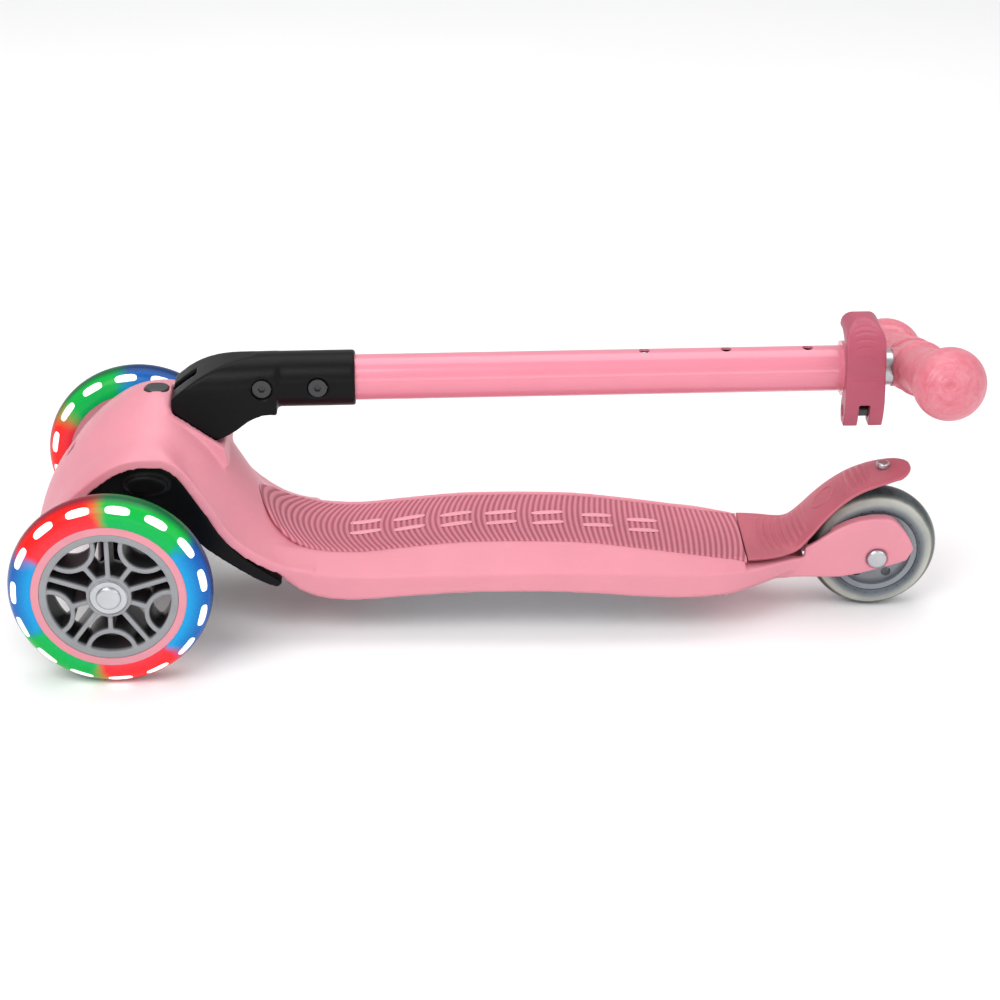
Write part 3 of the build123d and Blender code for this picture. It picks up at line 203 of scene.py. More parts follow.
def metal(name, colour, rough=0.2, brushed=False, depth=0.00003):
    """Plated or polished metal with hairline marks and a little cloudiness."""
    look = Look(name)
    hair = look.noise(700.0, 4.0, 0.7, stretch=(1.0, 12.0, 1.0) if brushed else (1.0, 1.0, 4.0))
    cloud = look.noise(60.0, 3.0, 0.5)
    look.set(Base_Color=look.ramp(look.span(cloud, 0.3, 0.7), [
        (0.0, shade(colour, 0.9)), (1.0, shade(colour, 1.06))]))
    look.set(Metallic=1.0)
    look.set(Roughness=look.math("ADD", look.math("MULTIPLY", hair, 0.14),
                                 look.span(cloud, 0.3, 0.7, rough - 0.05, rough + 0.05)))
    look.set(Normal=look.bump(hair, depth, 0.35))
    return look.material


def tyre_glow(name, stops):
    """Clear tyre lit from inside: the colour goes round the wheel in soft-edged fields."""
    look = Look(name)
    split = look.node("ShaderNodeSeparateXYZ", None, {"Vector": look.coords})
    x = look.math("SUBTRACT", split.outputs["X"], FRONT_X)
    z = look.math("SUBTRACT", split.outputs["Z"], FRONT_R)
    angle = look.math("ARCTAN2", z, x)
    wobble = look.math("MULTIPLY", look.math("SUBTRACT", look.noise(55.0, 3.0), 0.5), 0.35)
    turn = look.span(look.math("ADD", angle, wobble), -math.pi, math.pi)
    colour = look.ramp(turn, stops, "EASE")
    radius = look.math("SQRT", look.math("ADD", look.math("MULTIPLY", x, x),
                                         look.math("MULTIPLY", z, z)))
    inner = look.math("SUBTRACT", 1.0, look.span(radius, 0.047, 0.057))
    bluish = look.node("ShaderNodeSeparateColor", None, {"Color": colour}).outputs["Blue"]
    cyan = look.math("MULTIPLY", inner, look.span(bluish, 0.05, 0.3, 0.06, 0.8))
    colour = look.mix(cyan, colour, (0.01, 0.36, 0.72))
    edge = look.span(radius, 0.0585, 0.0603)
    colour = look.mix(look.math("MULTIPLY", edge, 0.75), colour, (0.004, 0.008, 0.03))
    look.set(Base_Color=look.mix(1.0, colour, (0.62, 0.62, 0.62), "MULTIPLY"))
    look.set(Roughness=look.span(look.noise(300.0, 3.0), 0.3, 0.7, 0.2, 0.34))
    look.set(Emission_Color=colour)
    look.set(Emission_Strength=0.42)
    look.set(Specular_IOR_Level=0.18)
    look.set(Normal=look.bump(look.noise(900.0, 2.0), 0.00004, 0.4))
    return look.material


RED, GREEN, BLUE = (0.90, 0.012, 0.008), (0.002, 0.42, 0.05), (0.005, 0.10, 0.40)


def fields(pairs):
    """Ramp stops from (start degrees, colour) fields that run round from -180 to 180."""
    stops = []
    for k, (start, colour) in enumerate(pairs):
        end = pairs[k + 1][0] if k + 1 < len(pairs) else 180
        soft = 7
        stops.append((max(0.0, (start + soft + 180) / 360), colour))
        stops.append((min(1.0, (end - soft + 180) / 360), colour))
    return stops


def spoked(name, face, painted_shade):
    """Moulded wheel core: pale on its two faces, with painted shade down the walls of its
    openings.
    """
    look = Look(name)
    split = look.node("ShaderNodeSeparateXYZ", None, {"Vector": look.coords})
    across = look.math("SUBTRACT", look.math("ABSOLUTE", split.outputs["Y"]), TRACK / 2)
    depth = look.math("ABSOLUTE", across)
    slow = look.noise(60.0, 3.0, 0.6)
    pale = look.ramp(look.span(slow, 0.3, 0.7), [(0.0, shade(face, 0.85)), (1.0, face)])
    # painted shade: the core turns dark within 7.5 to 10.5 mm of its middle plane, down in its
    # openings
    look.set(Base_Color=look.mix(look.span(depth, 0.0075, 0.0105), painted_shade, pale))
    look.set(Roughness=look.span(slow, 0.3, 0.7, 0.34, 0.44))
    look.set(Normal=look.bump(look.noise(1800.0, 2.0), 0.00007, 0.5))
    look.set(Specular_IOR_Level=0.3)
    return look.material


def swirled(name, colour, pale):
    """Soft translucent grip rubber: smoky swirls, fine ribs and a satin surface."""
    look = Look(name)
    warp = look.noise(110.0, 4.0, 0.6, distortion=1.6)
    fine = look.noise(260.0, 3.0, 0.6, distortion=0.8)
    field = look.math("ADD", look.math("MULTIPLY", warp, 0.7), look.math("MULTIPLY", fine, 0.3))
    look.set(Base_Color=look.ramp(look.span(field, 0.36, 0.64), [(0.0, colour), (1.0, pale)]))
    look.set(Roughness=look.span(fine, 0.3, 0.7, 0.34, 0.5))
    look.set(Subsurface_Weight=0.35)
    look.set(Subsurface_Radius=(0.008, 0.003, 0.003))
    look.set(Normal=look.bump(look.noise(2200.0, 2.0), 0.00006, 0.4))
    look.set(Coat_Weight=0.15)
    return look.material


def glowing(name):
    look = Look(name)
    fine = look.noise(420.0, 3.0)
    look.set(Base_Color=look.ramp(fine, [(0.0, (0.86, 0.88, 0.92)), (1.0, (0.98, 0.98, 0.97))]))
    look.set(Emission_Color=look.ramp(fine, [(0.0, (0.9, 0.93, 1.0)), (1.0, (1.0, 1.0, 1.0))]))
    look.set(Emission_Strength=0.5)
    look.set(Roughness=look.span(fine, 0.3, 0.7, 0.2, 0.35))
    return look.material


LEFT_FIELDS = fields([(-180, BLUE), (-153, GREEN), (-98, RED), (-42, BLUE), (35, GREEN),
                      (95, RED), (155, BLUE)])
RIGHT_FIELDS = fields([(-180, RED), (-120, BLUE), (-60, GREEN), (0, RED), (45, BLUE),
                       (100, GREEN), (150, RED)])


def ridged(name, ridge_colour_and_highlight, groove_shade, rough):
    """Soft mat rubber with painted shade between its curved ridges and a painted highlight
    lifting their tops.
    """
    look = Look(name)
    split = look.node("ShaderNodeSeparateXYZ", None, {"Vector": look.coords})
    x = look.math("SUBTRACT", split.outputs["X"], FRONT_X)
    bow = look.math("MULTIPLY_ADD", x, -1000 * BOW_CHANGE, 1000 * (BOW_START + BOW_CHANGE * 0.1))
    y2 = look.math("MULTIPLY", split.outputs["Y"], split.outputs["Y"])
    bent = look.math("SUBTRACT", x, look.math("MULTIPLY", bow, y2))
    wave = look.math("COSINE", look.math("MULTIPLY", bent, 2 * math.pi / RIDGE_PITCH))
    slow = look.noise(26.0, 4.0, 0.6)
    # painted shade in the grooves between the ridges; the ridge tops are the rubber's colour
    # lifted by a painted highlight
    low = look.ramp(look.span(slow, 0.3, 0.7), [(0.0, groove_shade), (1.0, shade(groove_shade, 1.2))])
    ridge_tops_and_highlight = look.ramp(look.span(slow, 0.3, 0.7), [(0.0, shade(ridge_colour_and_highlight, 0.93)), (1.0, ridge_colour_and_highlight)])
    look.set(Base_Color=look.mix(look.span(wave, -0.75, 0.45), low, ridge_tops_and_highlight))
    look.set(Roughness=look.span(look.noise(240.0, 3.0), 0.3, 0.7, rough - 0.06, rough + 0.08))
    look.set(Subsurface_Weight=0.06)
    look.set(Subsurface_Radius=(0.004, 0.0015, 0.0015))
    look.set(Normal=look.bump(look.noise(2100.0, 3.0), 0.00007, 0.45))
    return look.material


def rear_rubber(name):
    """Clear rubber over a dark rim: pale in the middle of the wall, dark at both edges."""
    look = Look(name)
    split = look.node("ShaderNodeSeparateXYZ", None, {"Vector": look.coords})
    x = look.math("SUBTRACT", split.outputs["X"], REAR_X)
    z = look.math("SUBTRACT", split.outputs["Z"], REAR_R)
    radius = look.math("SQRT", look.math("ADD", look.math("MULTIPLY", x, x),
                                         look.math("MULTIPLY", z, z)))
    drift = look.math("MULTIPLY", look.math("SUBTRACT", look.noise(60.0, 3.0), 0.5), 0.002)
    band = look.span(look.math("ADD", radius, drift), 0.027, REAR_R)
    colour = look.ramp(band, [(0.0, (0.05, 0.06, 0.075)), (0.14, (0.07, 0.085, 0.10)),
                              (0.30, (0.17, 0.19, 0.20)), (0.44, (0.36, 0.37, 0.34)),
                              (0.66, (0.48, 0.48, 0.42)), (0.76, (0.10, 0.11, 0.097)),
                              (0.86, (0.012, 0.015, 0.014))])
    cloud = look.span(look.noise(34.0, 3.0, 0.6), 0.35, 0.7)
    look.set(Base_Color=look.mix(look.math("MULTIPLY", cloud, 0.45), colour, (0.15, 0.18, 0.2)))
    look.set(Roughness=look.span(look.noise(500.0, 3.0), 0.3, 0.7, 0.12, 0.24))
    look.set(Specular_IOR_Level=0.3)
    look.set(Normal=look.bump(look.noise(1400.0, 2.0), 0.00003, 0.3))
    return look.material


MATERIALS = {
    "deck_pink": moulded("deck_pink", (0.635, 0.232, 0.288), 0.42, 0.035, depth=0.00005,
                         subsurface=0.08),
    # mat colours: ridge tops with a painted highlight, then the grooves' painted shade
    "mat_rose": ridged("mat_rose", (0.60, 0.195, 0.25), (0.30, 0.07, 0.105), 0.55),
    "fender_rose": moulded("fender_rose", (0.43, 0.093, 0.130), 0.42, 0.10, 1500.0, 0.00009,
                           subsurface=0.06),
    "mark_pink": moulded("mark_pink", (0.72, 0.30, 0.355), 0.5, 0.05, 1500.0, 0.00006),
    "tube_pink": moulded("tube_pink", (0.66, 0.19, 0.26), 0.30, 0.02, 900.0, 0.00002, 0.03,
                         coat=0.6),
    "lever_rose": moulded("lever_rose", (0.37, 0.060, 0.105), 0.40, 0.10, 1500.0, 0.00008,
                          subsurface=0.05),
    "grip_pink": swirled("grip_pink", (0.58, 0.12, 0.165), (0.62, 0.20, 0.25)),
    "black_plastic": moulded("black_plastic", (0.0022, 0.0022, 0.0028), 0.34, 0.2, 2400.0,
                             0.00005, specular=0.13),
    "button_grey": moulded("button_grey", (0.03, 0.03, 0.033), 0.45, 0.1),
    "steel": metal("steel", (0.52, 0.53, 0.55), 0.32, True),
    "black_steel": moulded("black_steel", (0.014, 0.014, 0.016), 0.32, 0.2, 2000.0, 0.00005,
                           coat=0.2),
    "chrome": metal("chrome", (0.50, 0.51, 0.53), 0.26),
    "aluminium": metal("aluminium", (0.7, 0.71, 0.73), 0.3, True),
    "rubber": moulded("rubber", (0.015, 0.015, 0.015), 0.7, 0.2, 1800.0, 0.0001),
    "light_tyre": tyre_glow("light_tyre", LEFT_FIELDS),
    "light_white": glowing("light_white"),
    "band_pink": moulded("band_pink", (0.62, 0.23, 0.275), 0.36, 0.05),
    # wheel core: pale face grey, then the painted shade used deep in its openings
    "core_grey": spoked("core_grey", (0.27, 0.275, 0.29), (0.022, 0.023, 0.026)),
    "clear_tyre": rear_rubber("clear_tyre"),
    "core_smoke": moulded("core_smoke", (0.20, 0.225, 0.25), 0.22, 0.18, 1200.0, 0.00004,
                          coat=0.6),
    "stud_dark": moulded("stud_dark", (0.02, 0.028, 0.034), 0.3, 0.2, 1500.0, 0.00004, coat=0.4),
}
MATERIALS["light_tyre_right"] = tyre_glow("light_tyre_right", RIGHT_FIELDS)

for entry in frame["record"]["subparts"]:
    shown = NODES[entry["node"]]
    shown.data.materials.clear()
    shown.data.materials.append(MATERIALS[entry["material_slot"]])
# the brake pin's ends are painted over with the fender's colour
NODES["brake_pin"].data.materials[0] = MATERIALS["fender_rose"]


# ---------------------------------------------------------------- mesh helpers
def new_object(name, mesh, body, slot, material=None):
    made = bpy.data.objects.new(name, mesh)
    bpy.context.scene.collection.objects.link(made)
    mesh.materials.append(material or MATERIALS[slot])
    for face in mesh.polygons:
        face.use_smooth = True
    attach(made, body)
    return made


def grid_mesh(name, rows, closed_u=False, closed_v=False):
    """Quad mesh through rows of points, optionally joined end to end either way."""
    mesh = bpy.data.meshes.new(name)
    wide = len(rows[0])
    points = [point for row in rows for point in row]
    faces = []
    for u in range(len(rows) if closed_u else len(rows) - 1):
        for v in range(wide if closed_v else wide - 1):
            u2, v2 = (u + 1) % len(rows), (v + 1) % wide
            faces.append((u * wide + v, u2 * wide + v, u2 * wide + v2, u * wide + v2))
    mesh.from_pydata([tuple(p) for p in points], [], faces)
    mesh.update()
    return mesh


def lathe_mesh(name, profile, origin, axis, across, segments=96):
    """Surface of revolution of (radius, height) points about an axis."""
    third = axis.cross(across)
    rows = []
    for step in range(segments):
        turn = 2 * math.pi * step / segments
        out = across * math.cos(turn) + third * math.sin(turn)
        rows.append([origin + out * r + axis * h for r, h in profile])
    return grid_mesh(name, rows, closed_u=True)


def cast(name, nodes, body, slot, voxel, passes, shape=None):
    """One soft-edged moulded piece made from CAD nodes' meshes."""
    bm = bmesh.new()
    for node in nodes:
        bm.from_mesh(NODES[node].data)
    bmesh.ops.remove_doubles(bm, verts=bm.verts, dist=1e-6)
    mesh = bpy.data.meshes.new(name)
    bm.to_mesh(mesh)
    bm.free()
    work = bpy.data.objects.new(name + "_work", mesh)
    bpy.context.scene.collection.objects.link(work)
    remesh = work.modifiers.new("remesh", "REMESH")
    remesh.mode = "VOXEL"
    remesh.voxel_size = voxel
    soften = work.modifiers.new("soften", "SMOOTH")
    soften.factor = 0.5
    soften.iterations = passes
    graph = bpy.context.evaluated_depsgraph_get()
    final = bpy.data.meshes.new_from_object(work.evaluated_get(graph))
    bpy.data.objects.remove(work)
    final.name = name
    final.materials.clear()
    if shape:
        shape(final)
    piece = new_object(name, final, body, slot)
    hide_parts(*nodes)
    return piece


def curve_at(points, x):
    """Smooth height of a line of (x, z) points at x, by cubic pieces."""
    k = 0
    while k < len(points) - 2 and points[k + 1][0] < x:
        k += 1
    x0, z0 = points[k]
    x1, z1 = points[k + 1]
    before = points[k - 1] if k > 0 else points[k]
    after = points[k + 2] if k + 2 < len(points) else points[k + 1]
    m0 = (z1 - before[1]) / (x1 - before[0])
    m1 = (after[1] - z0) / (after[0] - x0)
    run = x1 - x0
    t = min(1.0, max(0.0, (x - x0) / run))
    return ((2 * t**3 - 3 * t**2 + 1) * z0 + (t**3 - 2 * t**2 + t) * run * m0
            + (3 * t**2 - 2 * t**3) * z1 + (t**3 - t**2) * run * m1)


# ---------------------------------------------------------------- deck, sleeve, lever
FINE = 1.0
BUTTON_AT = FRONT_X + 0.0222
BUTTON_DEEPER = 0.0018


def deepen_button_guide(mesh):
    """Room for the pressed button, because casting rounds the floor of its guide."""
    for vertex in mesh.vertices:
        if (abs(vertex.co.x - BUTTON_AT) < 0.0088 and abs(vertex.co.y) < 0.0078
                and 0.130 < vertex.co.z < 0.1445):
            vertex.co.z -= BUTTON_DEEPER


cast("deck_shell", ["deck_frame"], "deck", "deck_pink", 0.0010 * FINE, 6, deepen_button_guide)
cast("housing_shell", ["truck_housing"], "deck", "black_plastic", 0.0010 * FINE, 5)
cast("stem_sleeve", ["sleeve_left", "sleeve_right"], "stem", "black_plastic", 0.0009 * FINE, 10)


CRESCENTS = ((0.0347, 0.0052), (0.0328, 0.0066), (0.0303, 0.0074), (0.0270, 0.0074),
             (0.0230, 0.0070), (0.0175, 0.0064))


def lever_ridges(mesh):
    """Crescent finger grooves and one crease pressed into the clamp lever's outer face."""
    middle = stem(COLLAR_MID)
    for vertex in mesh.vertices:
        offset = vertex.co - middle
        along, side, up = offset.dot(ALONG), offset.dot(SIDE), offset.dot(UP)
        out = Vector((0, side + 0.003, up - 0.0075)).normalized()
        facing = vertex.normal.dot(SIDE) * out.y + vertex.normal.dot(UP) * out.z
        if facing < 0.6 or side > -0.004:
            continue
        press = 0.0
        for height, reach in CRESCENTS:
            bend = 0.0016 * (along / reach) ** 2
            near = max(0.0, 1 - abs(up + bend - height) / 0.00075)
            press += 0.0005 * near * max(0.0, 1 - (along / reach) ** 4)
        press += 0.00025 * max(0.0, 1 - abs(up - 0.0032) / 0.0006) * (abs(along) < 0.0078)
        vertex.co -= vertex.normal * press


cast("lever_shell", ["clamp_lever"], "clamp_lever", "lever_rose", 0.0005 * FINE, 8, lever_ridges)

# ---------------------------------------------------------------- mat with curved ridges
MAT_LINE = [(0.0825, 0.0822), (0.089, 0.0735), (0.098, 0.0645), (0.109, 0.0585),
            (0.125, 0.054), (0.146, 0.0532), (0.170, 0.0556), (0.208, 0.0593),
            (0.245, 0.0602), (0.282, 0.0593), (0.319, 0.0552), (0.350, 0.051),
            (0.372, 0.048), (0.3861, 0.0467)]
MAT_SIDE = [(0.0826, 0.0015), (0.086, 0.012), (0.094, 0.024), (0.106, 0.0315),
            (0.120, 0.0335), (0.160, 0.0335), (0.3861, 0.0335)]


def mat_height(x):
    return curve_at(MAT_LINE, x)


MAT_FROM, MAT_TO, MAT_COLUMNS = 0.0827, 0.3859, 80
MAT_EDGE, MAT_SUNK, MAT_DEEP = 0.0022, 0.0007, 0.0019  # rounded border, drop and thickness


def make_mat():
    long_steps = 720
    rows = []
    for i in range(long_steps + 1):
        x = MAT_FROM + (MAT_TO - MAT_FROM) * i / long_steps
        half = min(0.0333, curve_at(MAT_SIDE, x) - 0.0002)
        z = curve_at(MAT_LINE, x)
        bow = BOW_START - BOW_CHANGE * (x - 0.1)
        row = []
        for j in range(MAT_COLUMNS + 1):
            v = -1 + 2 * j / MAT_COLUMNS
            y = v * half
            phase = (x - bow * y * y * 1000) / RIDGE_PITCH
            edge = min(1.0, (1 - abs(v)) * half / MAT_EDGE)
            rise = (0.5 + 0.5 * math.cos(2 * math.pi * phase)) ** 1.5 * RIDGE_RISE * edge
            drop = 0.0008 * (1 - edge) ** 2
            row.append(Vector((x + FRONT_X, y, z - MAT_SUNK + rise - drop)))
        floor = [Vector((p.x, p.y, p.z - MAT_DEEP)) for p in (row[-1], row[0])]
        rows.append(row + floor)
    mesh = grid_mesh("deck_pad", rows, closed_v=True)
    mesh.flip_normals()
    piece = new_object("deck_pad", mesh, "deck", "mat_rose")
    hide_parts("deck_mat")


make_mat()


def pillow(bm, surface, centre, half, turn, lift, power=3.2, rings=4, segments=32):
    """Rounded low pad that follows surface(u, v, height), added to a mesh being built."""
    loops = []
    for ring in range(rings + 1):
        size = 1 - ring / rings
        height = lift * (min(1.0, ring / 2) ** 0.5) - 0.0002 * (ring == 0)
        loop = []
        for step in range(segments if ring < rings else 1):
            angle = 2 * math.pi * step / segments
            dx, dy = math.cos(angle), math.sin(angle)
            u = half[0] * size * math.copysign(abs(dx) ** (2 / power), dx)
            v = half[1] * size * math.copysign(abs(dy) ** (2 / power), dy)
            at = (centre[0] + u * math.cos(turn) - v * math.sin(turn),
                  centre[1] + u * math.sin(turn) + v * math.cos(turn))
            loop.append(bm.verts.new(surface(at[0], at[1], height)))
        loops.append(loop)
    for a, b in zip(loops, loops[1:]):
        for i in range(segments):
            j = (i + 1) % segments
            corner = (b[0],) if len(b) == 1 else (b[j], b[i])
            bm.faces.new((a[i], a[j], *corner))


def finish_bmesh(bm, name, body, slot, material=None):
    bmesh.ops.recalc_face_normals(bm, faces=bm.faces)
    mesh = bpy.data.meshes.new(name)
    bm.to_mesh(mesh)
    bm.free()
    return new_object(name, mesh, body, slot, material)


# plain slanted bars along the middle of the mat
BARS_AT = (0.149, 0.176, 0.2055, 0.2335, 0.263, 0.294, 0.323)
BAR_ROWS = (0.0055, -0.0085)
bm = bmesh.new()
for middle in BARS_AT:
    for y in BAR_ROWS:
        pillow(bm, lambda x, y, h: Vector((x + FRONT_X, y, mat_height(x) + h)),
               (middle, y), (0.0102, 0.0024), 0.16, 0.00035)
finish_bmesh(bm, "mat_bars", "deck", "mat_rose", MATERIALS["mark_pink"])

# ---------------------------------------------------------------- foot brake
FENDER_LINE = [(0.3865, 0.0470, 0.0), (0.398, 0.0472, 0.0), (0.410, 0.0484, 0.0003),
               (0.418, 0.0520, 0.0015), (0.425, 0.0590, 0.0022), (0.433, 0.0682, 0.0026),
               (0.442, 0.0768, 0.0028), (0.453, 0.0845, 0.0030), (0.465, 0.0896, 0.0032),
               (0.477, 0.0924, 0.0031), (0.486, 0.0932, 0.0030), (0.493, 0.0936, 0.0030)]
FENDER_SHOULDERS = [(x, z) for x, z, crown in FENDER_LINE]
FENDER_CROWNS = [(x, crown) for x, z, crown in FENDER_LINE]
FENDER_SIDE = [(0.3865, 0.033), (0.400, 0.031), (0.414, 0.0265), (0.430, 0.0225),
               (0.450, 0.0195), (0.470, 0.018), (0.482, 0.0155)]
FENDER_THICK = 0.0025
FENDER_TIP, TIP_FROM, TIP_R = 0.4898, 0.482, 0.0193
RIB_PITCH = 0.0044
RIB_RISE = 0.0012
RIB_GROUPS = ((0.394, 0.427), (0.447, 0.4635))
FENDER_FROM = 0.3867
LUG_SIDES = ((-0.013, -0.007), (0.007, 0.013))
RING_AT, RING_HALF, RING_STEPS = (0.4362, 0.0005), (0.0062, 0.0078), 48


def fender_half(x):
    if x < TIP_FROM:
        return curve_at(FENDER_SIDE, x)
    return math.sqrt(max(0.0, TIP_R ** 2 - (x - FENDER_TIP + TIP_R) ** 2))


def fender_skin(x, y):
    """Outer surface of the fender, x behind the front axle."""
    dome = 1 - (abs(y) / 0.018) ** 2.6
    return Vector((x + FRONT_X, y, curve_at(FENDER_SHOULDERS, x)
                   + curve_at(FENDER_CROWNS, x) * dome))


def fender_point(x, y, height):
    """Point at a height above the fender's outer surface."""
    here = fender_skin(x, y)
    along = fender_skin(x + 0.0004, y) - here
    across = fender_skin(x, y + 0.0004) - here
    return here + along.cross(across).normalized() * height


def rib_rise(x, y, run):
    """Height of the cross ribs in two groups along the fender."""
    rise = 0.0
    for start, end in RIB_GROUPS:
        inside = min(1.0, max(0.0, (x - start) / 0.003), max(0.0, (end - x) / 0.003))
        if start <= x <= end:
            rise = inside * (0.5 + 0.5 * math.cos(2 * math.pi * (run - 6 * y * y) / RIB_PITCH))
    return rise * max(0.0, 1 - (abs(y) / (fender_half(x) * 0.8)) ** 6) * RIB_RISE


def make_fender():
    steps = 300
    rows = []
    run = 0.0
    before = None
    for i in range(steps + 1):
        t = i / steps
        x = FENDER_FROM + (FENDER_TIP - 0.0001 - FENDER_FROM) * (1 - (1 - t) ** 1.35)
        here = fender_skin(x, 0)
        run += (here - before).length if before else 0.0
        before = here
        half = max(0.0004, fender_half(x) - 0.0001)
        upper, lower = [], []
        for j in range(49):
            v = math.sin(math.pi * (j / 48 - 0.5))
            y = v * half
            rim = FENDER_THICK / 2
            inset = min(half - abs(y), x - 0.3866, (FENDER_TIP - x) * 1.2)
            round_off = math.sqrt(max(0.0, 1 - max(0.0, 1 - inset / rim) ** 2))
            rib = rib_rise(x, y, run)
            upper.append(fender_point(x, y, -rim * (1 - round_off) - 0.0002 + rib))
            lower.append(fender_point(x, y, -rim * (1 + round_off)))
        rows.append(upper + lower[::-1])
    mesh = grid_mesh("fender_shell", rows, closed_v=True)
    bm = bmesh.new()
    bm.from_mesh(mesh)
    # hinge lugs down to the brake pin
    pin = (0.398, 0.0365)
    for low_y, high_y in LUG_SIDES:
        outline = [(pin[0] - 0.006, 0.0448)]
        for step in range(17):
            turn = math.pi + math.pi * step / 16
            outline.append((pin[0] + 0.0052 * math.cos(turn), pin[1] + 0.0048 * math.sin(turn)))
        outline.append((pin[0] + 0.014, 0.0455))
        sides = [[bm.verts.new((x + FRONT_X, y, z)) for x, z in outline] for y in (low_y, high_y)]
        bm.faces.new(sides[0])
        bm.faces.new(sides[1][::-1])
        for k in range(len(outline)):
            m = (k + 1) % len(outline)
            bm.faces.new((sides[0][k], sides[1][k], sides[1][m], sides[0][m]))
    # plain raised oval ring
    loops = []
    for size, height in ((1.14, -0.0003), (1.10, 0.0004), (1.0, 0.00055), (0.90, 0.0004),
                         (0.86, -0.0003)):
        loops.append([bm.verts.new(fender_point(
            RING_AT[0] + RING_HALF[0] * size * math.cos(2 * math.pi * k / RING_STEPS),
            RING_AT[1] + RING_HALF[1] * size * math.sin(2 * math.pi * k / RING_STEPS),
            height - 0.0002)) for k in range(RING_STEPS)])
    for a, b in zip(loops, loops[1:]):
        for k in range(RING_STEPS):
            m = (k + 1) % RING_STEPS
            bm.faces.new((a[k], a[m], b[m], b[k]))
    piece = finish_bmesh(bm, "fender_shell", "foot_brake", "mat_rose",
                         MATERIALS["fender_rose"])
    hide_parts("fender")


make_fender()

# ---------------------------------------------------------------- grips
BAR_POS = stem(BAR_AT)
BAR_DIR = SIDE * math.cos(TWIST) + UP * math.sin(TWIST)


def lathe_into(bm, profile, origin, axis, across, segments=96):
    """Add a surface of revolution to a mesh being built."""
    mesh = lathe_mesh("part", profile, origin, axis, across, segments)
    bm.from_mesh(mesh)
    bpy.data.meshes.remove(mesh)


def make_grip(side, tag):
    arm = BAR_DIR * side
    bm = bmesh.new()
    profile = [(0.0092, 0.0122), (0.0162, 0.0122), (0.0169, 0.0128), (0.0171, 0.0145)]
    line = [(0.016, 0.0171), (0.020, 0.0152), (0.034, 0.0146), (0.052, 0.0156),
            (0.068, 0.0144), (0.080, 0.0142), (0.088, 0.0164), (0.092, 0.0180)]
    steps = 150
    for k in range(steps + 1):
        h = 0.016 + (0.090 - 0.016) * k / steps
        groove = max(0.0, math.cos(2 * math.pi * h / 0.0052)) ** 3
        inside = min(1.0, max(0.0, (h - 0.021) / 0.003), max(0.0, (0.083 - h) / 0.003))
        profile.append((curve_at(line, h) - 0.0003 * groove * inside - 0.00002, h))
    lathe_into(bm, profile, BAR_POS, arm, ALONG)
    # ball with shallow rings round the dimple in its end
    outward = (arm + Vector((-0.2, 0, 0.05))).normalized()
    middle = BAR_POS + arm * BALL_AT
    ball = []
    for k in range(141):
        polar = math.pi * 0.86 * k / 140
        from_end = BALL_R * polar
        ring = max(0.0, math.cos(2 * math.pi * (from_end - 0.0012) / 0.0042)) ** 4
        ring *= min(1.0, max(0.0, (from_end - 0.004) / 0.002)) * max(0.0, 1 - from_end / 0.031)
        dimple = 0.0022 * max(0.0, 1 - (from_end / 0.0036) ** 2) ** 1.5
        r = BALL_R - 0.0004 * ring - dimple
        ball.append((r * math.sin(polar), r * math.cos(polar)))
    lathe_into(bm, ball, middle, outward, ALONG)
    piece = finish_bmesh(bm, "grip_cover_" + tag, "handlebar", "grip_pink")
    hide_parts("grip_" + tag)


make_grip(-1, "left")
make_grip(1, "right")

# ---------------------------------------------------------------- rear wheel
STUDS, STUD_RADIUS, STUD_HALF = 26, 0.0291, (0.0019, 0.0011)


def make_rear_wheel():
    centre = Vector((REAR_X, 0, REAR_R))
    axis, across = Vector((0, 1, 0)), Vector((1, 0, 0))
    chord, sag = 0.012, 0.0108
    bend = (chord ** 2 + sag ** 2) / (2 * sag)
    hub = REAR_R - bend
    low = math.asin((REAR_R - sag - hub) / bend)
    profile = [(0.0272, -0.0115), (0.0277, -0.0119)]
    for step in range(37):
        turn = low + (math.pi - 2 * low) * step / 36
        profile.append((hub + bend * math.sin(turn), -bend * math.cos(turn)))
    profile += [(0.0277, 0.0119), (0.0272, 0.0115), (0.0272, -0.0115)]
    mesh = lathe_mesh("tyre_rear", profile, centre, axis, across, 160)
    tyre = new_object("tyre_rear", mesh, "rear_wheel", "clear_tyre")
    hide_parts("rear_tyre")
    # small dark studs round both walls
    bm = bmesh.new()
    for face in (-1, 1):
        for k in range(STUDS):
            def surface(u, v, height):
                r = STUD_RADIUS + v
                out = math.sqrt(max(0.0, bend ** 2 - (max(r, REAR_R - sag) - hub) ** 2))
                angle = u / STUD_RADIUS
                return centre + Vector((r * math.cos(angle), (min(0.0119, out) + height) * face,
                                        r * math.sin(angle)))
            pillow(bm, surface, (STUD_RADIUS * 2 * math.pi * k / STUDS, 0.0), STUD_HALF, 0.0,
                   0.00008, rings=2, segments=16)
    finish_bmesh(bm, "rear_studs", "rear_wheel", "core_smoke", MATERIALS["stud_dark"])


make_rear_wheel()

# ---------------------------------------------------------------- front wheels
TYRE_PROFILE_R, TYRE_PROFILE_C = 0.0125, 0.047965
BARS, BAR_RADIUS, BAR_HALF_LONG, BAR_HALF_WIDE = 15, 0.056, 0.0080, 0.0021
BAR_FIRST = {-1: 10.2, 1: 1.5}  # degrees up from +X to a bar's middle on each wheel


def tyre_height(r):
    return math.sqrt(max(0.0, TYRE_PROFILE_R ** 2 - (r - TYRE_PROFILE_C) ** 2))


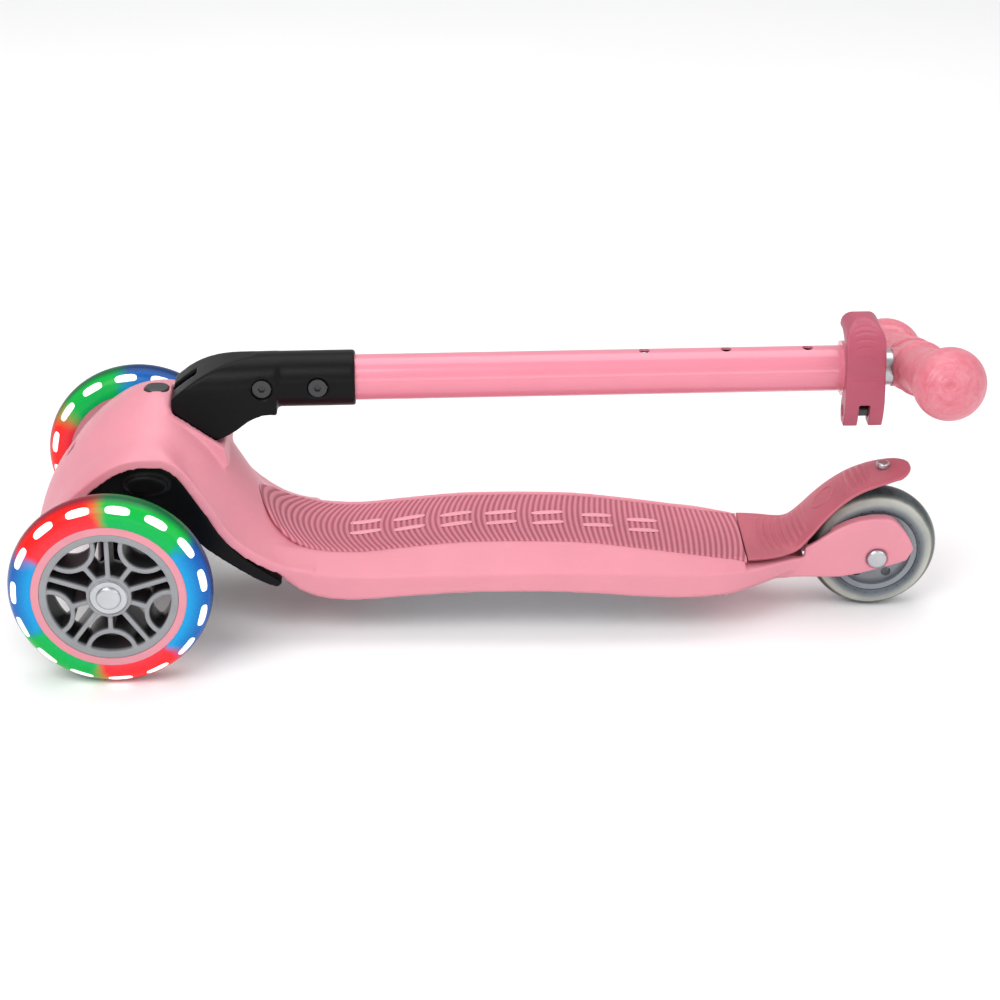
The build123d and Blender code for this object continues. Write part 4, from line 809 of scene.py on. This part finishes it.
def make_front_wheel(side, tag):
    body = "front_wheel_" + tag
    centre = Vector((FRONT_X, side * TRACK / 2, FRONT_R))
    axis, across = Vector((0, 1, 0)), Vector((1, 0, 0))
    profile = [(0.0457, -0.0120), (0.0463, -0.0125)]
    low = math.asin((0.0489 - TYRE_PROFILE_C) / TYRE_PROFILE_R)
    for step in range(41):
        turn = low + (math.pi - 2 * low) * step / 40
        profile.append((TYRE_PROFILE_C + TYRE_PROFILE_R * math.sin(turn),
                        -TYRE_PROFILE_R * math.cos(turn)))
    profile += [(0.0463, 0.0125), (0.0457, 0.0120)]
    mesh = lathe_mesh("tyre_" + tag, profile + profile[:1], centre, axis, across, 160)
    glow = MATERIALS["light_tyre"] if side < 0 else MATERIALS["light_tyre_right"]
    tyre = new_object("tyre_" + tag, mesh, body, "light_tyre", glow)
    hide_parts("front_tyre_" + tag)
    # rounded light bars let into both shoulders
    bm = bmesh.new()
    for face in (-1, 1):
        for k in range(BARS):
            first = math.radians(k * 360 / BARS + BAR_FIRST[side])

            def shoulder(u, v, height):
                r = BAR_RADIUS + v
                angle = first + u / BAR_RADIUS
                return centre + Vector((r * math.cos(angle), (tyre_height(r) + height) * face,
                                        r * math.sin(angle)))
            pillow(bm, shoulder, (0.0, 0.0), (BAR_HALF_LONG, BAR_HALF_WIDE), 0.0, 0.0003,
                   rings=5)
    bars = finish_bmesh(bm, "light_bars_" + tag, body, "light_white")
    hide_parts("front_lights_" + tag)


for side, tag in ((-1, "left"), (1, "right")):
    make_front_wheel(side, tag)
    cast("spokes_" + tag, ["front_core_" + tag], "front_wheel_" + tag, "core_grey",
         0.0006 * FINE, 3)

# ---------------------------------------------------------------- light and floor
def area(name, place, aim, size, power):
    data = bpy.data.lights.new(name, "AREA")
    data.shape = "RECTANGLE"
    data.size, data.size_y = size
    data.energy = power
    lamp = bpy.data.objects.new(name, data)
    bpy.context.scene.collection.objects.link(lamp)
    lamp.location = place
    lamp.rotation_euler = (Vector(aim) - Vector(place)).to_track_quat("-Z", "Y").to_euler()


LAMPS = (
    ("key", (-1.0, -1.4, 2.0), (0, 0, 0.05), (1.6, 1.2), 34),
    ("fill", (1.6, -1.2, 1.2), (0, 0, 0.08), (1.4, 1.4), 12),
    ("top", (0.1, 0.6, 2.2), (0, 0, 0.05), (2.2, 1.6), 24),
    ("front", (-0.1, -2.6, 0.62), (0, 0, 0.12), (2.4, 0.5), 9),
)
for lamp_settings in LAMPS:
    area(*lamp_settings)

WORLD_STRENGTH = 0.62
world = bpy.data.worlds.new("world")
bpy.context.scene.world = world
world.use_nodes = True
world.node_tree.nodes["Background"].inputs["Color"].default_value = (1, 1, 1, 1)
world.node_tree.nodes["Background"].inputs["Strength"].default_value = WORLD_STRENGTH

floor_mesh = bpy.data.meshes.new("floor")
reach = 12.0
floor_mesh.from_pydata([(-reach, -reach, 0), (reach, -reach, 0), (reach, reach, 0),
                        (-reach, reach, 0)], [], [(0, 1, 2, 3)])
floor = bpy.data.objects.new("floor", floor_mesh)
bpy.context.scene.collection.objects.link(floor)
floor_look = Look("floor_paper")
floor_look.set(Base_Color=floor_look.ramp(floor_look.noise(3.0), [
    (0.0, (0.86, 0.86, 0.87)), (1.0, (0.9, 0.9, 0.9))]))
floor_look.set(Roughness=0.8)
floor_mesh.materials.append(floor_look.material)

bpy.context.scene.view_settings.view_transform = "Standard"
